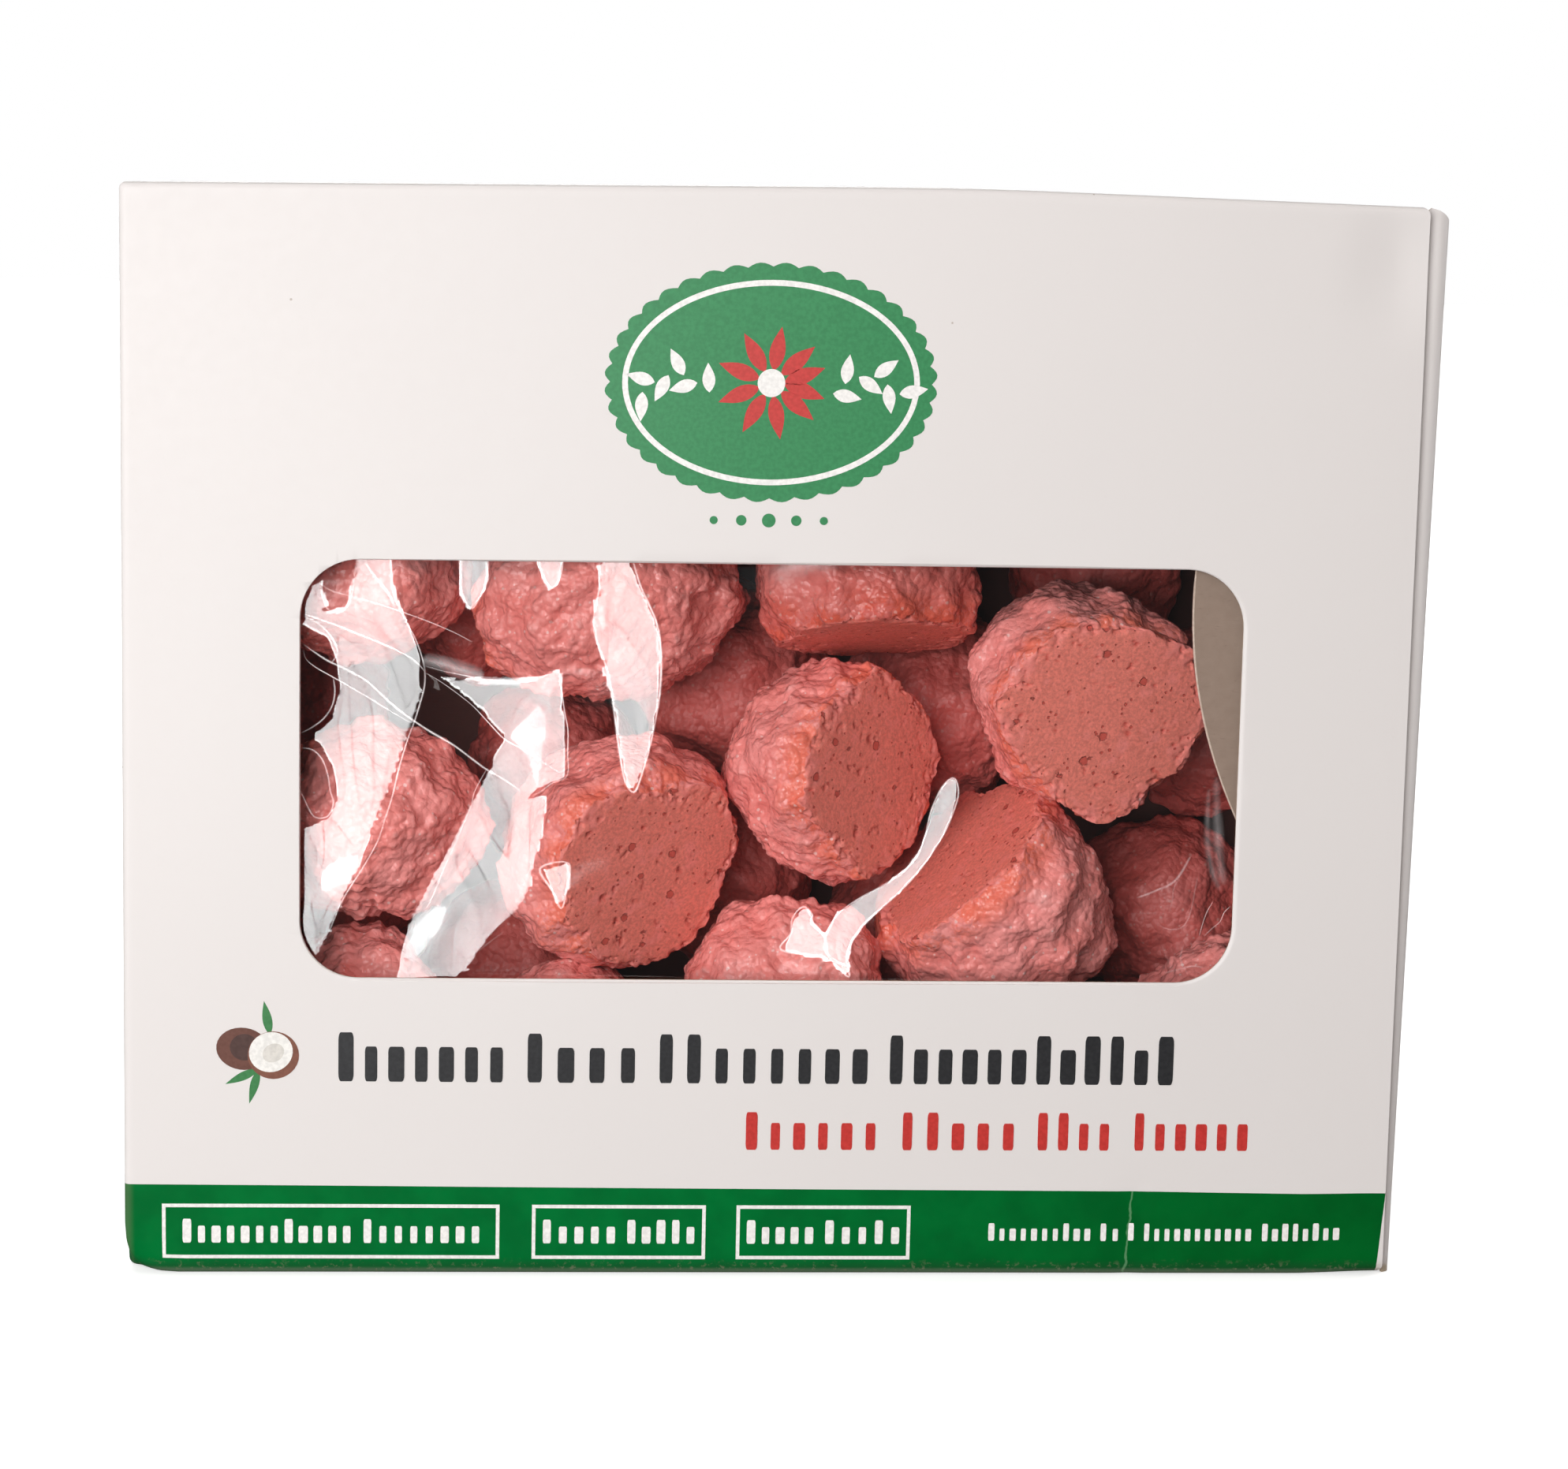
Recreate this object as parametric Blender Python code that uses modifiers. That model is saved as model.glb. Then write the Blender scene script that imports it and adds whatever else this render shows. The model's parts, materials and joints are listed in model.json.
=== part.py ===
"""A shut windowed carton of coconut macaroons, in metres, standing on its bottom panel.

The front panel faces -Y. The carton is one folded board: a closed box with a window cut in its front,
and a side lid that hinges at the back and tucks its tongue behind the front panel. A clear film is
glued behind the window, and the macaroons lie loose inside.
"""

import math

import bmesh
import bpy
from mathutils import Matrix, Vector, noise

MM = 0.001

# Carton
PANEL_WIDTH = 160.4 * MM
PANEL_HEIGHT = 136.1 * MM
DEPTH = 50.0 * MM
BOARD = 0.5 * MM
FOLD_RADIUS = 0.8 * MM
GRID_STEP = 14.0 * MM
PANEL_BULGE = 0.8 * MM
TOP_CROWN = 1.3 * MM
CROWN_X = 23.0 * MM
CROWN_BLUNTNESS = 8.0 * MM
DENT_DEPTH = 2.2 * MM
DENT_SIZE = 6.5 * MM
DENT_SLICE = 3.6 * MM
LIFTED_CORNER = 0.4 * MM
LIFT_START = 0.85
LIFT_HEIGHT = 0.2 * PANEL_HEIGHT
WELD_DISTANCE = 0.002 * MM

# Window
WINDOW_WIDTH = 117.2 * MM
WINDOW_HEIGHT = 52.3 * MM
WINDOW_X = 0.3 * MM
WINDOW_Z = 64.5 * MM
WINDOW_RADIUS = 7.2 * MM

# Side lid and its tongue
LID_GAP = 0.3 * MM
LID_OUT_TOP = 3.0 * MM
LID_OUT_BOTTOM = 1.3 * MM
LID_BOARD = 0.4 * MM
LID_FOLD = 1.4 * MM
LID_ROWS = 14
TONGUE_SETBACK = 1.55 * MM
TONGUE_REACH = 27.5 * MM
TONGUE_LEAST = 8.0 * MM
TONGUE_TIP_Z = 86.0 * MM
TONGUE_CURVE = 9.0
LID_CORNER_DROP = 2.6 * MM
SLOT_END_MARGIN = 0.6 * MM
SLOT_DEPTH = 1.2 * MM
HINGE_SLACK = 0.2 * MM

# Film
FILM_MARGIN = 7.0 * MM
FILM_THICKNESS = 0.25 * MM
FILM_GAP = 0.3 * MM
FILM_WAVE = 0.7 * MM
FILM_COLUMNS = 18
FILM_ROWS = 8

# Macaroons
BASE_CUT = 0.5
RIM_WELD = 0.02
DOME_RISE = 0.95
LUMP_SIZE = 0.075
CRAG_SIZE = 0.045

# The lid stands out on one side only, so the panels' centre is off the middle of the whole.
PANEL_X = -LID_OUT_TOP / 2

FRONT = -DEPTH / 2
BACK = DEPTH / 2
HALF_WIDTH = PANEL_WIDTH / 2


def clear_scene():
    for obj in list(bpy.data.objects):
        bpy.data.objects.remove(obj, do_unlink=True)


def new_collection(name):
    collection = bpy.data.collections.new(name)
    bpy.context.scene.collection.children.link(collection)
    return collection


def new_material(name, colour, roughness, metallic=0.0, alpha=1.0):
    material = bpy.data.materials.new(name)
    material.use_nodes = True
    shader = material.node_tree.nodes["Principled BSDF"]
    shader.inputs["Base Color"].default_value = (*colour, 1.0)
    shader.inputs["Roughness"].default_value = roughness
    shader.inputs["Metallic"].default_value = metallic
    shader.inputs["Alpha"].default_value = alpha
    return material


def new_object(name, bm, collection, material=None):
    bmesh.ops.recalc_face_normals(bm, faces=bm.faces)
    mesh = bpy.data.meshes.new(name)
    bm.to_mesh(mesh)
    bm.free()
    obj = bpy.data.objects.new(name, mesh)
    collection.objects.link(obj)
    if material:
        mesh.materials.append(material)
    return obj


def hide_cutter(obj):
    obj.hide_render = True
    obj.display_type = "WIRE"
    return obj


def box_mesh(low, high):
    bm = bmesh.new()
    bmesh.ops.create_cube(bm, size=1.0)
    size = Vector(high) - Vector(low)
    centre = (Vector(high) + Vector(low)) / 2
    bmesh.ops.scale(bm, vec=size, verts=bm.verts)
    bmesh.ops.translate(bm, vec=centre, verts=bm.verts)
    return bm


def bevel_edges(bm, radius, segments, wanted):
    edges = [edge for edge in bm.edges if wanted(edge)]
    bmesh.ops.bevel(
        bm, geom=edges, offset=radius, segments=segments, profile=0.5, affect="EDGES", clamp_overlap=True
    )


def slice_at(bm, axis, position):
    """Adds one flat cut across the mesh, where it can then bend."""
    place = Vector((0.0, 0.0, 0.0))
    place[axis] = position
    normal = Vector((0.0, 0.0, 0.0))
    normal[axis] = 1.0
    everything = bm.verts[:] + bm.edges[:] + bm.faces[:]
    bmesh.ops.bisect_plane(bm, geom=everything, plane_co=place, plane_no=normal)


def slice_evenly(bm, axis, low, high, step):
    count = max(1, round((high - low) / step))
    for index in range(1, count):
        slice_at(bm, axis, low + (high - low) * index / count)


def add_boolean(obj, other, operation):
    modifier = obj.modifiers.new(operation.title(), "BOOLEAN")
    modifier.operation = operation
    modifier.object = other


def is_cut_corner(edge):
    """The upright edge at the front right, where the front panel ends in a cut edge and not in a fold."""
    return all(vert.co.x > 0 and vert.co.y < 0 for vert in edge.verts)


def box_shell(collection, material):
    low = (-HALF_WIDTH, FRONT, 0.0)
    high = (HALF_WIDTH, BACK, PANEL_HEIGHT)
    bm = box_mesh(low, high)
    bevel_edges(bm, FOLD_RADIUS, 2, lambda edge: not is_cut_corner(edge))
    for axis in range(3):
        slice_evenly(bm, axis, low[axis] + FOLD_RADIUS, high[axis] - FOLD_RADIUS, GRID_STEP)
        slice_at(bm, axis, low[axis] + DENT_SLICE)
    slice_at(bm, 0, high[0] - DENT_SLICE)
    shell = new_object("carton", bm, collection, material)
    board = shell.modifiers.new("Board", "SOLIDIFY")
    board.thickness = BOARD
    board.offset = -1.0
    board.use_even_offset = True
    return shell


def window_cutter(collection):
    low = (WINDOW_X - WINDOW_WIDTH / 2, FRONT - FOLD_RADIUS, WINDOW_Z - WINDOW_HEIGHT / 2)
    high = (WINDOW_X + WINDOW_WIDTH / 2, FRONT + 2 * BOARD, WINDOW_Z + WINDOW_HEIGHT / 2)
    bm = box_mesh(low, high)
    bevel_edges(bm, WINDOW_RADIUS, 6, lambda edge: abs(edge.verts[0].co.y - edge.verts[1].co.y) > BOARD)
    return hide_cutter(new_object("window_cutter", bm, collection))


def tongue_slot_cutter(collection):
    """Frees the front panel's right edge from the end wall, so that the tongue can pass behind it."""
    low = (HALF_WIDTH - 2 * BOARD, FRONT + BOARD, BOARD + SLOT_END_MARGIN)
    top = PANEL_HEIGHT - BOARD - SLOT_END_MARGIN
    high = (HALF_WIDTH + BOARD, FRONT + TONGUE_SETBACK + SLOT_DEPTH, top)
    return hide_cutter(new_object("slot_cutter", box_mesh(low, high), collection))


def lid_stands_out(z):
    return LID_OUT_BOTTOM + (LID_OUT_TOP - LID_OUT_BOTTOM) * z / PANEL_HEIGHT


def tongue_reach(z):
    """How far the tongue runs in from the front panel's right edge: a shallow curve about its tip."""
    from_tip = z - TONGUE_TIP_Z
    return max(TONGUE_REACH - TONGUE_CURVE * from_tip * from_tip, TONGUE_LEAST)


def arc_points(centre, radius, start, end, count):
    angles = [start + (end - start) * index / (count - 1) for index in range(count)]
    return [(centre[0] + radius * math.cos(a), centre[1] + radius * math.sin(a)) for a in angles]


def lid_section(z):
    """The lid's middle line in plan, from inside the back panel round to the tongue's free edge."""
    outer = HALF_WIDTH + lid_stands_out(z) - LID_BOARD / 2
    hinge_y = BACK - BOARD / 2
    hinge_x = HALF_WIDTH + LID_GAP + LID_BOARD
    tongue_y = FRONT + TONGUE_SETBACK
    points = [(HALF_WIDTH - 4 * FOLD_RADIUS, hinge_y), (HALF_WIDTH - 1.5 * FOLD_RADIUS, hinge_y)]
    hinge_radius = hinge_x - HALF_WIDTH + HINGE_SLACK
    points += arc_points(
        (hinge_x - hinge_radius, hinge_y - hinge_radius), hinge_radius, math.pi / 2, 0.0, 4
    )
    side_start = points[-1]
    side_end = (outer, tongue_y + LID_FOLD)
    for index in range(1, 5):
        share = index / 5
        ease = math.sin(share * math.pi / 2)
        x = side_start[0] + (side_end[0] - side_start[0]) * ease
        y = side_start[1] + (side_end[1] - side_start[1]) * share
        points.append((x, y))
    points += arc_points(
        (outer - LID_FOLD, tongue_y + LID_FOLD), LID_FOLD, 0.0, -math.pi / 2, 5
    )
    last_x = points[-1][0]
    end_x = HALF_WIDTH - tongue_reach(z)
    for index in range(1, 5):
        points.append((last_x + (end_x - last_x) * index / 4, tongue_y))
    return points


def rounded_corner_drop(beyond, z):
    """How much lower the lid's top edge lies as it stands out further from the carton's end."""
    share = min(1.0, beyond / lid_stands_out(z))
    near_top = max(0.0, 1.0 - (PANEL_HEIGHT - z) / (4 * LID_CORNER_DROP))
    return LID_CORNER_DROP * (1.0 - math.sqrt(max(0.0, 1.0 - share * share))) * near_top


def lid_sheet(collection):
    """The side lid with its tongue, lofted from plan sections up the carton's height."""
    bm = bmesh.new()
    rows = []
    for index in range(LID_ROWS + 1):
        z = PANEL_HEIGHT * index / LID_ROWS
        inner_z = min(max(z, BOARD + FILM_GAP), PANEL_HEIGHT - BOARD - FILM_GAP)
        row = []
        for x, y in lid_section(z):
            beyond = x - HALF_WIDTH - LID_GAP / 2
            if beyond > 0:
                row.append(bm.verts.new((x, y, z - rounded_corner_drop(beyond, z))))
            else:
                row.append(bm.verts.new((x, y, inner_z)))
        rows.append(row)
    for below, above in zip(rows, rows[1:]):
        for index in range(len(below) - 1):
            bm.faces.new((below[index], below[index + 1], above[index + 1], above[index]))
    lid = new_object("lid_sheet", bm, collection)
    board = lid.modifiers.new("Board", "SOLIDIFY")
    board.thickness = LID_BOARD
    board.offset = 0.0
    return hide_cutter(lid)


def warp(point):
    """The board's gentle bulges and dents: panels belly out, and the top edge rises to a blunt peak."""
    x, y, z = point
    across = math.cos(math.pi * 0.5 * min(1.0, abs(x) / HALF_WIDTH))
    up = math.sin(math.pi * min(1.0, max(0.0, z / PANEL_HEIGHT)))
    y += PANEL_BULGE * across * up * (y / BACK)
    from_peak = math.hypot(x - CROWN_X, CROWN_BLUNTNESS) - CROWN_BLUNTNESS
    span = HALF_WIDTH + abs(CROWN_X) if x < CROWN_X else HALF_WIDTH - abs(CROWN_X)
    crown = 1.0 - min(1.0, from_peak / span)
    z += TOP_CROWN * crown * max(0.0, z / PANEL_HEIGHT) ** 2
    return dent_corners(Vector((x, y, z)))


def smooth_share(value):
    value = min(1.0, max(0.0, value))
    return value * value * (3.0 - 2.0 * value)


def dent_corners(point):
    """The front's lower corners: the left one is pushed in, the right one is lifted off the lid's tip."""
    corner = Vector((-HALF_WIDTH, FRONT, 0.0))
    near = max(0.0, 1.0 - (point - corner).length / DENT_SIZE)
    point = point + Vector((1.0, 1.0, 1.0)).normalized() * DENT_DEPTH * near * near
    if point.x < HALF_WIDTH + LID_GAP / 2:
        to_right = smooth_share((point.x / HALF_WIDTH - LIFT_START) / (1.0 - LIFT_START))
        to_front = smooth_share(point.y / FRONT)
        to_bottom = smooth_share(1.0 - point.z / LIFT_HEIGHT)
        point.z += LIFTED_CORNER * to_right * to_front * to_bottom
    return point


def bake_and_warp(obj):
    """Replaces the object's modifiers by their triangulated result, bent by warp()."""
    graph = bpy.context.evaluated_depsgraph_get()
    mesh = bpy.data.meshes.new_from_object(obj.evaluated_get(graph))
    obj.modifiers.clear()
    bm = bmesh.new()
    bm.from_mesh(mesh)
    bmesh.ops.remove_doubles(bm, verts=bm.verts, dist=WELD_DISTANCE)
    bmesh.ops.dissolve_degenerate(bm, edges=bm.edges, dist=WELD_DISTANCE)
    bmesh.ops.triangulate(bm, faces=bm.faces)
    for vert in bm.verts:
        vert.co = warp(vert.co)
    bm.to_mesh(mesh)
    bm.free()
    obj.data = mesh
    mesh.shade_smooth()
    mesh.set_sharp_from_angle(angle=math.radians(40))


def make_carton(collection, cutters):
    board = new_material("board", (0.87, 0.83, 0.80), 0.45)
    shell = box_shell(collection, board)
    add_boolean(shell, window_cutter(cutters), "DIFFERENCE")
    add_boolean(shell, tongue_slot_cutter(cutters), "DIFFERENCE")
    add_boolean(shell, lid_sheet(cutters), "UNION")
    bpy.context.view_layer.update()
    bake_and_warp(shell)
    return shell


def film_wave(x, z):
    """Soft slanting waves, only inwards, dying out at the glued rim and over the tongue."""
    half_width = WINDOW_WIDTH / 2
    half_height = WINDOW_HEIGHT / 2
    u = (x - WINDOW_X) / half_width
    v = (z - WINDOW_Z) / half_height
    rim = max(0.0, 1.0 - u * u) * max(0.0, 1.0 - v * v)
    clear_of_tongue = min(1.0, max(0.0, (0.8 - u) / 0.3))
    slant = math.sin(9.0 * u + 2.2 * v) + 0.6 * math.sin(4.0 * u - 3.0 * v)
    return FILM_WAVE * math.sqrt(rim) * clear_of_tongue * (0.5 + slant / 3.2)


def make_film(collection):
    clear = new_material("clear_film", (0.95, 0.95, 0.95), 0.06, alpha=0.3)
    width = WINDOW_WIDTH + 2 * FILM_MARGIN
    height = WINDOW_HEIGHT + 2 * FILM_MARGIN
    bm = bmesh.new()
    bmesh.ops.create_grid(bm, x_segments=FILM_COLUMNS, y_segments=FILM_ROWS, size=0.5)
    middle_y = FRONT + BOARD + FILM_GAP + FILM_THICKNESS / 2
    for vert in bm.verts:
        x = WINDOW_X + vert.co.x * width
        z = WINDOW_Z + vert.co.y * height
        vert.co = warp(Vector((x, middle_y + film_wave(x, z), z)))
    film = new_object("window_film", bm, collection, clear)
    sheet = film.modifiers.new("Film", "SOLIDIFY")
    sheet.thickness = FILM_THICKNESS
    sheet.offset = 0.0
    return film


def lumpy_radius(direction, seed):
    """How far the crust stands from the body's middle, as a share of its radius."""
    shift = Vector((seed * 7.31, seed * 3.17, seed * 5.53))
    lump = noise.noise(direction * 1.3 + shift)
    crag = noise.noise(direction * 3.4 + shift * 2.0)
    return 1.0 + LUMP_SIZE * 2.0 * lump + CRAG_SIZE * 2.0 * crag


def macaroon_mesh(radius, stretch, seed, detail):
    """A lumpy dome with a flat base: local +Z points from the base to the top."""
    bm = bmesh.new()
    bmesh.ops.create_icosphere(bm, subdivisions=detail, radius=1.0)
    for vert in bm.verts:
        direction = vert.co.normalized()
        reach = lumpy_radius(direction, seed)
        rise = DOME_RISE if direction.z > 0 else 1.0
        vert.co = Vector((
            direction.x * reach * stretch,
            direction.y * reach / stretch,
            direction.z * reach * rise,
        )) * radius
    everything = bm.verts[:] + bm.edges[:] + bm.faces[:]
    base = (0.0, 0.0, -BASE_CUT * radius)
    down = (0.0, 0.0, -1.0)
    bmesh.ops.bisect_plane(bm, geom=everything, plane_co=base, plane_no=down, clear_outer=True)
    rim = [edge for edge in bm.edges if edge.is_boundary]
    rim_verts = list({vert for edge in rim for vert in edge.verts})
    bmesh.ops.remove_doubles(bm, verts=rim_verts, dist=RIM_WELD * radius)
    rim = [edge for edge in bm.edges if edge.is_boundary]
    bmesh.ops.contextual_create(bm, geom=rim)
    bmesh.ops.triangulate(bm, faces=bm.faces)
    return bm


def base_facing(base_normal, turn):
    """Turns local -Z, the way the flat base faces, to the given direction, with a turn about it."""
    away = -Vector(base_normal).normalized()
    return away.to_track_quat("Z", "Y").to_matrix() @ Matrix.Rotation(math.radians(turn), 3, "Z")


# Each macaroon: middle of its body from the front panel's bottom centre (mm), body radius (mm),
# the way its base faces, how much longer than wide, turn about its own axis (degrees).
AT_WINDOW = (
    ((-51.8, -9.0, 88.8), 13.2, (-0.3, 0.9, 0.3), 1.03, 20),
    ((-19.6, -7.0, 85.4), 15.8, (-0.45, 0.8, -0.35), 1.14, 0),
    ((13.5, -7.4, 86.9), 14.6, (0.04, -0.30, -0.95), 1.02, 10),
    ((41.6, -10.7, 72.4), 15.0, (0.22, -0.95, -0.20), 1.03, 40),
    ((9.5, -7.6, 62.4), 13.9, (0.67, -0.74, 0.04), 1.00, 0),
    ((-18.9, -9.2, 51.9), 14.9, (0.48, -0.82, -0.28), 1.02, 120),
    ((-49.6, -9.2, 55.8), 13.3, (-0.55, 0.80, 0.20), 1.02, 200),
    ((30.4, -6.4, 45.5), 15.75, (-0.68, -0.22, 0.70), 1.03, 160),
    ((3.4, -9.8, 33.0), 12.8, (0.10, 0.85, -0.50), 1.00, 250),
    ((-51.8, -9.5, 29.2), 12.6, (0.20, 0.70, -0.60), 1.03, 300),
    ((-24.2, -9.5, 24.4), 12.6, (-0.20, 0.80, -0.50), 1.02, 330),
    ((62.5, -8.5, 28.4), 12.4, (0.30, 0.80, -0.40), 1.00, 90),
)
BEHIND = (
    ((-62.2, 16.0, 67.6), 12.4, (-0.10, 0.95, 0.10), 1.03, 15),
    ((-36.5, 15.5, 83.5), 12.6, (0.20, 0.95, 0.00), 1.02, 130),
    ((-26.8, 15.8, 58.0), 12.3, (0.00, 1.00, -0.20), 1.00, 45),
    ((-3.0, 15.5, 71.5), 12.6, (-0.15, 0.95, 0.15), 1.04, 210),
    ((-4.0, 15.5, 44.5), 12.2, (0.10, 0.95, 0.20), 1.00, 75),
    ((24.8, 14.5, 67.5), 13.0, (0.15, 0.95, -0.15), 1.03, 280),
    ((46.0, 15.8, 88.5), 12.6, (0.00, 1.00, 0.10), 1.02, 330),
    ((61.5, 15.0, 66.0), 12.5, (0.20, 0.95, 0.10), 1.00, 100),
    ((56.5, 13.6, 40.8), 12.7, (-0.10, 0.95, -0.20), 1.04, 190),
    ((-32.0, 15.0, 30.0), 12.6, (0.10, 0.95, -0.20), 1.02, 240),
    ((-58.0, 15.5, 40.5), 12.4, (-0.10, 1.00, 0.10), 1.00, 60),
    ((20.8, 17.3, 35.6), 11.4, (0.05, 1.00, -0.10), 1.02, 350),
)
# The rest lie base down on the bottom panel, under the window's sill: columns along X, two rows deep.
FLOOR_RADIUS = 11.8
FLOOR_PLACES = ((-67.0, -11.2), (-40.5, -11.2), (-1.0, -10.2), (25.3, -10.4), (50.0, -10.4),
                (-64.0, 11.2), (-12.0, 12.0), (13.2, 11.6), (40.4, 11.8), (65.5, 11.6))
FLOOR_LIFT = 7.2


def placements():
    """Every macaroon's placement and the fineness of its mesh, finer where the window shows it."""
    for placed in AT_WINDOW + BEHIND:
        yield placed, 3
    for index, (x, y) in enumerate(FLOOR_PLACES):
        yield ((x, y, FLOOR_LIFT), FLOOR_RADIUS, (0.0, 0.0, -1.0), 1.0, 36.0 * index), 2


def make_macaroons(collection):
    crust = new_material("crust", (0.62, 0.20, 0.17), 0.4)
    made = []
    for number, (placed, detail) in enumerate(placements(), 1):
        place, radius, base, stretch, turn = placed
        bm = macaroon_mesh(radius * MM, stretch, number, detail)
        macaroon = new_object(f"macaroon_{number:02d}", bm, collection, crust)
        macaroon.rotation_euler = base_facing(base, turn).to_euler()
        macaroon.location = Vector(place) * MM
        made.append(macaroon)
    return made


def main():
    clear_scene()
    pack = new_collection("macaroon_carton")
    cutters = new_collection("cutters")
    middle = bpy.data.objects.new("panel_middle", None)
    middle.location = (PANEL_X, 0.0, 0.0)
    pack.objects.link(middle)
    pieces = [make_carton(pack, cutters), make_film(pack)]
    pieces += make_macaroons(pack)
    for piece in pieces:
        piece.parent = middle


main()
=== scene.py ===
import json
import math

import bmesh
import bpy
import numpy as np
from bpy.props import FloatProperty, FloatVectorProperty, IntProperty, PointerProperty
from mathutils import Matrix, Vector, noise

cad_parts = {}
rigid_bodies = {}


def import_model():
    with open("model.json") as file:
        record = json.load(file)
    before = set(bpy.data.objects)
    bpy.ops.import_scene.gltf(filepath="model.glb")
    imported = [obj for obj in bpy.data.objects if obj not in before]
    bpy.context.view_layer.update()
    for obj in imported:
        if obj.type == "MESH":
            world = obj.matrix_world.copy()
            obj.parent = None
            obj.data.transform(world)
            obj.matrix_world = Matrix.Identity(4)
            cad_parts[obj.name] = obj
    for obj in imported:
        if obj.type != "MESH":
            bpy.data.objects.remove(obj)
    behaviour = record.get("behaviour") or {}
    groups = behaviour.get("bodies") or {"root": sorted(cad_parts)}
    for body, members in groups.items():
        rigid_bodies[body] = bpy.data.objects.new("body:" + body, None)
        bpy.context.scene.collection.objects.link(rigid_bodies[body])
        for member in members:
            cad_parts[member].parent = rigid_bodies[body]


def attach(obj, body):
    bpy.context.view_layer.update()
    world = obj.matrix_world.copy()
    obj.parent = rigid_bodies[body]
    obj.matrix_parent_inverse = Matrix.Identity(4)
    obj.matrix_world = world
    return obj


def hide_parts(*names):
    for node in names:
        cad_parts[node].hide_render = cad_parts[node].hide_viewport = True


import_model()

bl_info = {
    "name": "Macaroon Carton",
    "version": (1, 0, 0),
    "blender": (4, 5, 0),
    "location": "View3D > Sidebar > Macaroon Carton",
    "description": "Builds a windowed carton of coconut macaroons around its fixed frame",
    "category": "Object",
}

MM = 0.001

# The frame's own measures, repeated so that each piece lies on its solid.
PANEL_WIDTH = 160.4 * MM
PANEL_HEIGHT = 136.1 * MM
DEPTH = 50.0 * MM
BOARD = 0.5 * MM
FOLD_RADIUS = 0.8 * MM
PANEL_BULGE = 0.8 * MM
TOP_CROWN = 1.3 * MM
CROWN_X = 23.0 * MM
CROWN_BLUNTNESS = 8.0 * MM
DENT_DEPTH = 2.2 * MM
DENT_SIZE = 6.5 * MM
LIFTED_CORNER = 0.4 * MM
LIFT_START = 0.85
WINDOW_WIDTH = 117.2 * MM
WINDOW_HEIGHT = 52.3 * MM
WINDOW_X = 0.3 * MM
WINDOW_Z = 64.5 * MM
WINDOW_RADIUS = 7.2 * MM
LID_GAP = 0.12 * MM
LID_OUT_TOP = 3.0 * MM
LID_OUT_BOTTOM = 1.3 * MM
LID_BOARD = 0.4 * MM
LID_FOLD = 1.4 * MM
TONGUE_SETBACK = 1.55 * MM
TONGUE_REACH = 27.5 * MM
TONGUE_LEAST = 8.0 * MM
TONGUE_TIP_Z = 86.0 * MM
TONGUE_CURVE = 9.0
LID_CORNER_DROP = 2.6 * MM
SLOT_END_MARGIN = 0.6 * MM
FILM_MARGIN = 7.0 * MM
BASE_CUT = 0.5
DOME_RISE = 0.95
LUMP_SIZE = 0.075
CRAG_SIZE = 0.045

PANEL_X = -LID_OUT_TOP / 2
FRONT = -DEPTH / 2
BACK = DEPTH / 2
HALF_WIDTH = PANEL_WIDTH / 2

# The camera, in metres, and its right, up and back directions.
CAMERA_PLACE = (-0.03064, -0.48182, 0.13848)
CAMERA_RIGHT = (0.9977366, -0.06397975, 0.02069477)
CAMERA_UP = (-0.01091075, 0.14964792, 0.98867915)
CAMERA_BACK = (-0.06635237, -0.98666716, 0.14861114)
CAMERA_LENS = 85.31

# The tall softbox on the viewer's left, its brighter rim and a small bright panel beyond it.
# The film's wrinkles are turned to them.
SOFTBOX_WIDTH = 0.30
SOFTBOX_HEIGHT = 0.46
SOFTBOX_RIM = 0.040
SOFTBOX_TURN = math.radians(21.0)
SOFTBOX_AWAY = 0.72
SOFTBOX_RAISED = 0.11
HOT_WIDTH = 0.10
HOT_HEIGHT = 0.14

WHITE = (1.0, 1.0, 1.0)
FRONT_MIDDLE = (PANEL_X, FRONT, WINDOW_Z)
# Weak lights that fill the shadows: name, place, what it points at, width, height, watts and colour.
FILL_LIGHTS = (
    ("left_fill", (-0.42, -0.38, 0.10), FRONT_MIDDLE, 0.20, 0.20, 0.40, WHITE),
    ("fill", (0.50, -0.42, 0.52), FRONT_MIDDLE, 0.30, 0.30, 0.40, (1.0, 0.94, 0.91)),
    ("back_fill", (-0.12, 0.88, 0.24), (0.0, 0.0, 0.06), 0.7, 0.5, 4.5, WHITE),
    ("side_fill", (1.0, 0.30, 0.35), (0.08, 0.0, 0.06), 0.6, 0.6, 4.0, WHITE),
    ("left_back_fill", (-1.0, 0.25, 0.35), (-0.08, 0.0, 0.06), 0.6, 0.6, 1.5, WHITE),
)


# Small helpers.


def clamp(value, low=0.0, high=1.0):
    return min(high, max(low, value))


def smooth_share(value):
    value = clamp(value)
    return value * value * (3.0 - 2.0 * value)


def add_node(tree, kind, inputs=None, **settings):
    """A new node. Each input is given by name or number, as a value or as the socket that feeds it."""
    node = tree.nodes.new(kind)
    for key, value in settings.items():
        setattr(node, key, value)
    for key, value in (inputs or {}).items():
        if isinstance(value, bpy.types.NodeSocket):
            tree.links.new(value, node.inputs[key])
        else:
            node.inputs[key].default_value = value
    return node


def maths(tree, operation, *operands):
    return add_node(tree, "ShaderNodeMath", dict(enumerate(operands)), operation=operation).outputs[0]


def vector_maths(tree, operation, *operands):
    return add_node(tree, "ShaderNodeVectorMath", dict(enumerate(operands)), operation=operation).outputs[0]


def scaled(tree, vector, factor):
    return add_node(tree, "ShaderNodeVectorMath", {0: vector, 3: factor}, operation="SCALE").outputs[0]


def split(tree, vector):
    """The vector's X, Y and Z."""
    return add_node(tree, "ShaderNodeSeparateXYZ", {0: vector}).outputs


def joined(tree, x, y, z):
    return add_node(tree, "ShaderNodeCombineXYZ", {0: x, 1: y, 2: z}).outputs[0]


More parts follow.
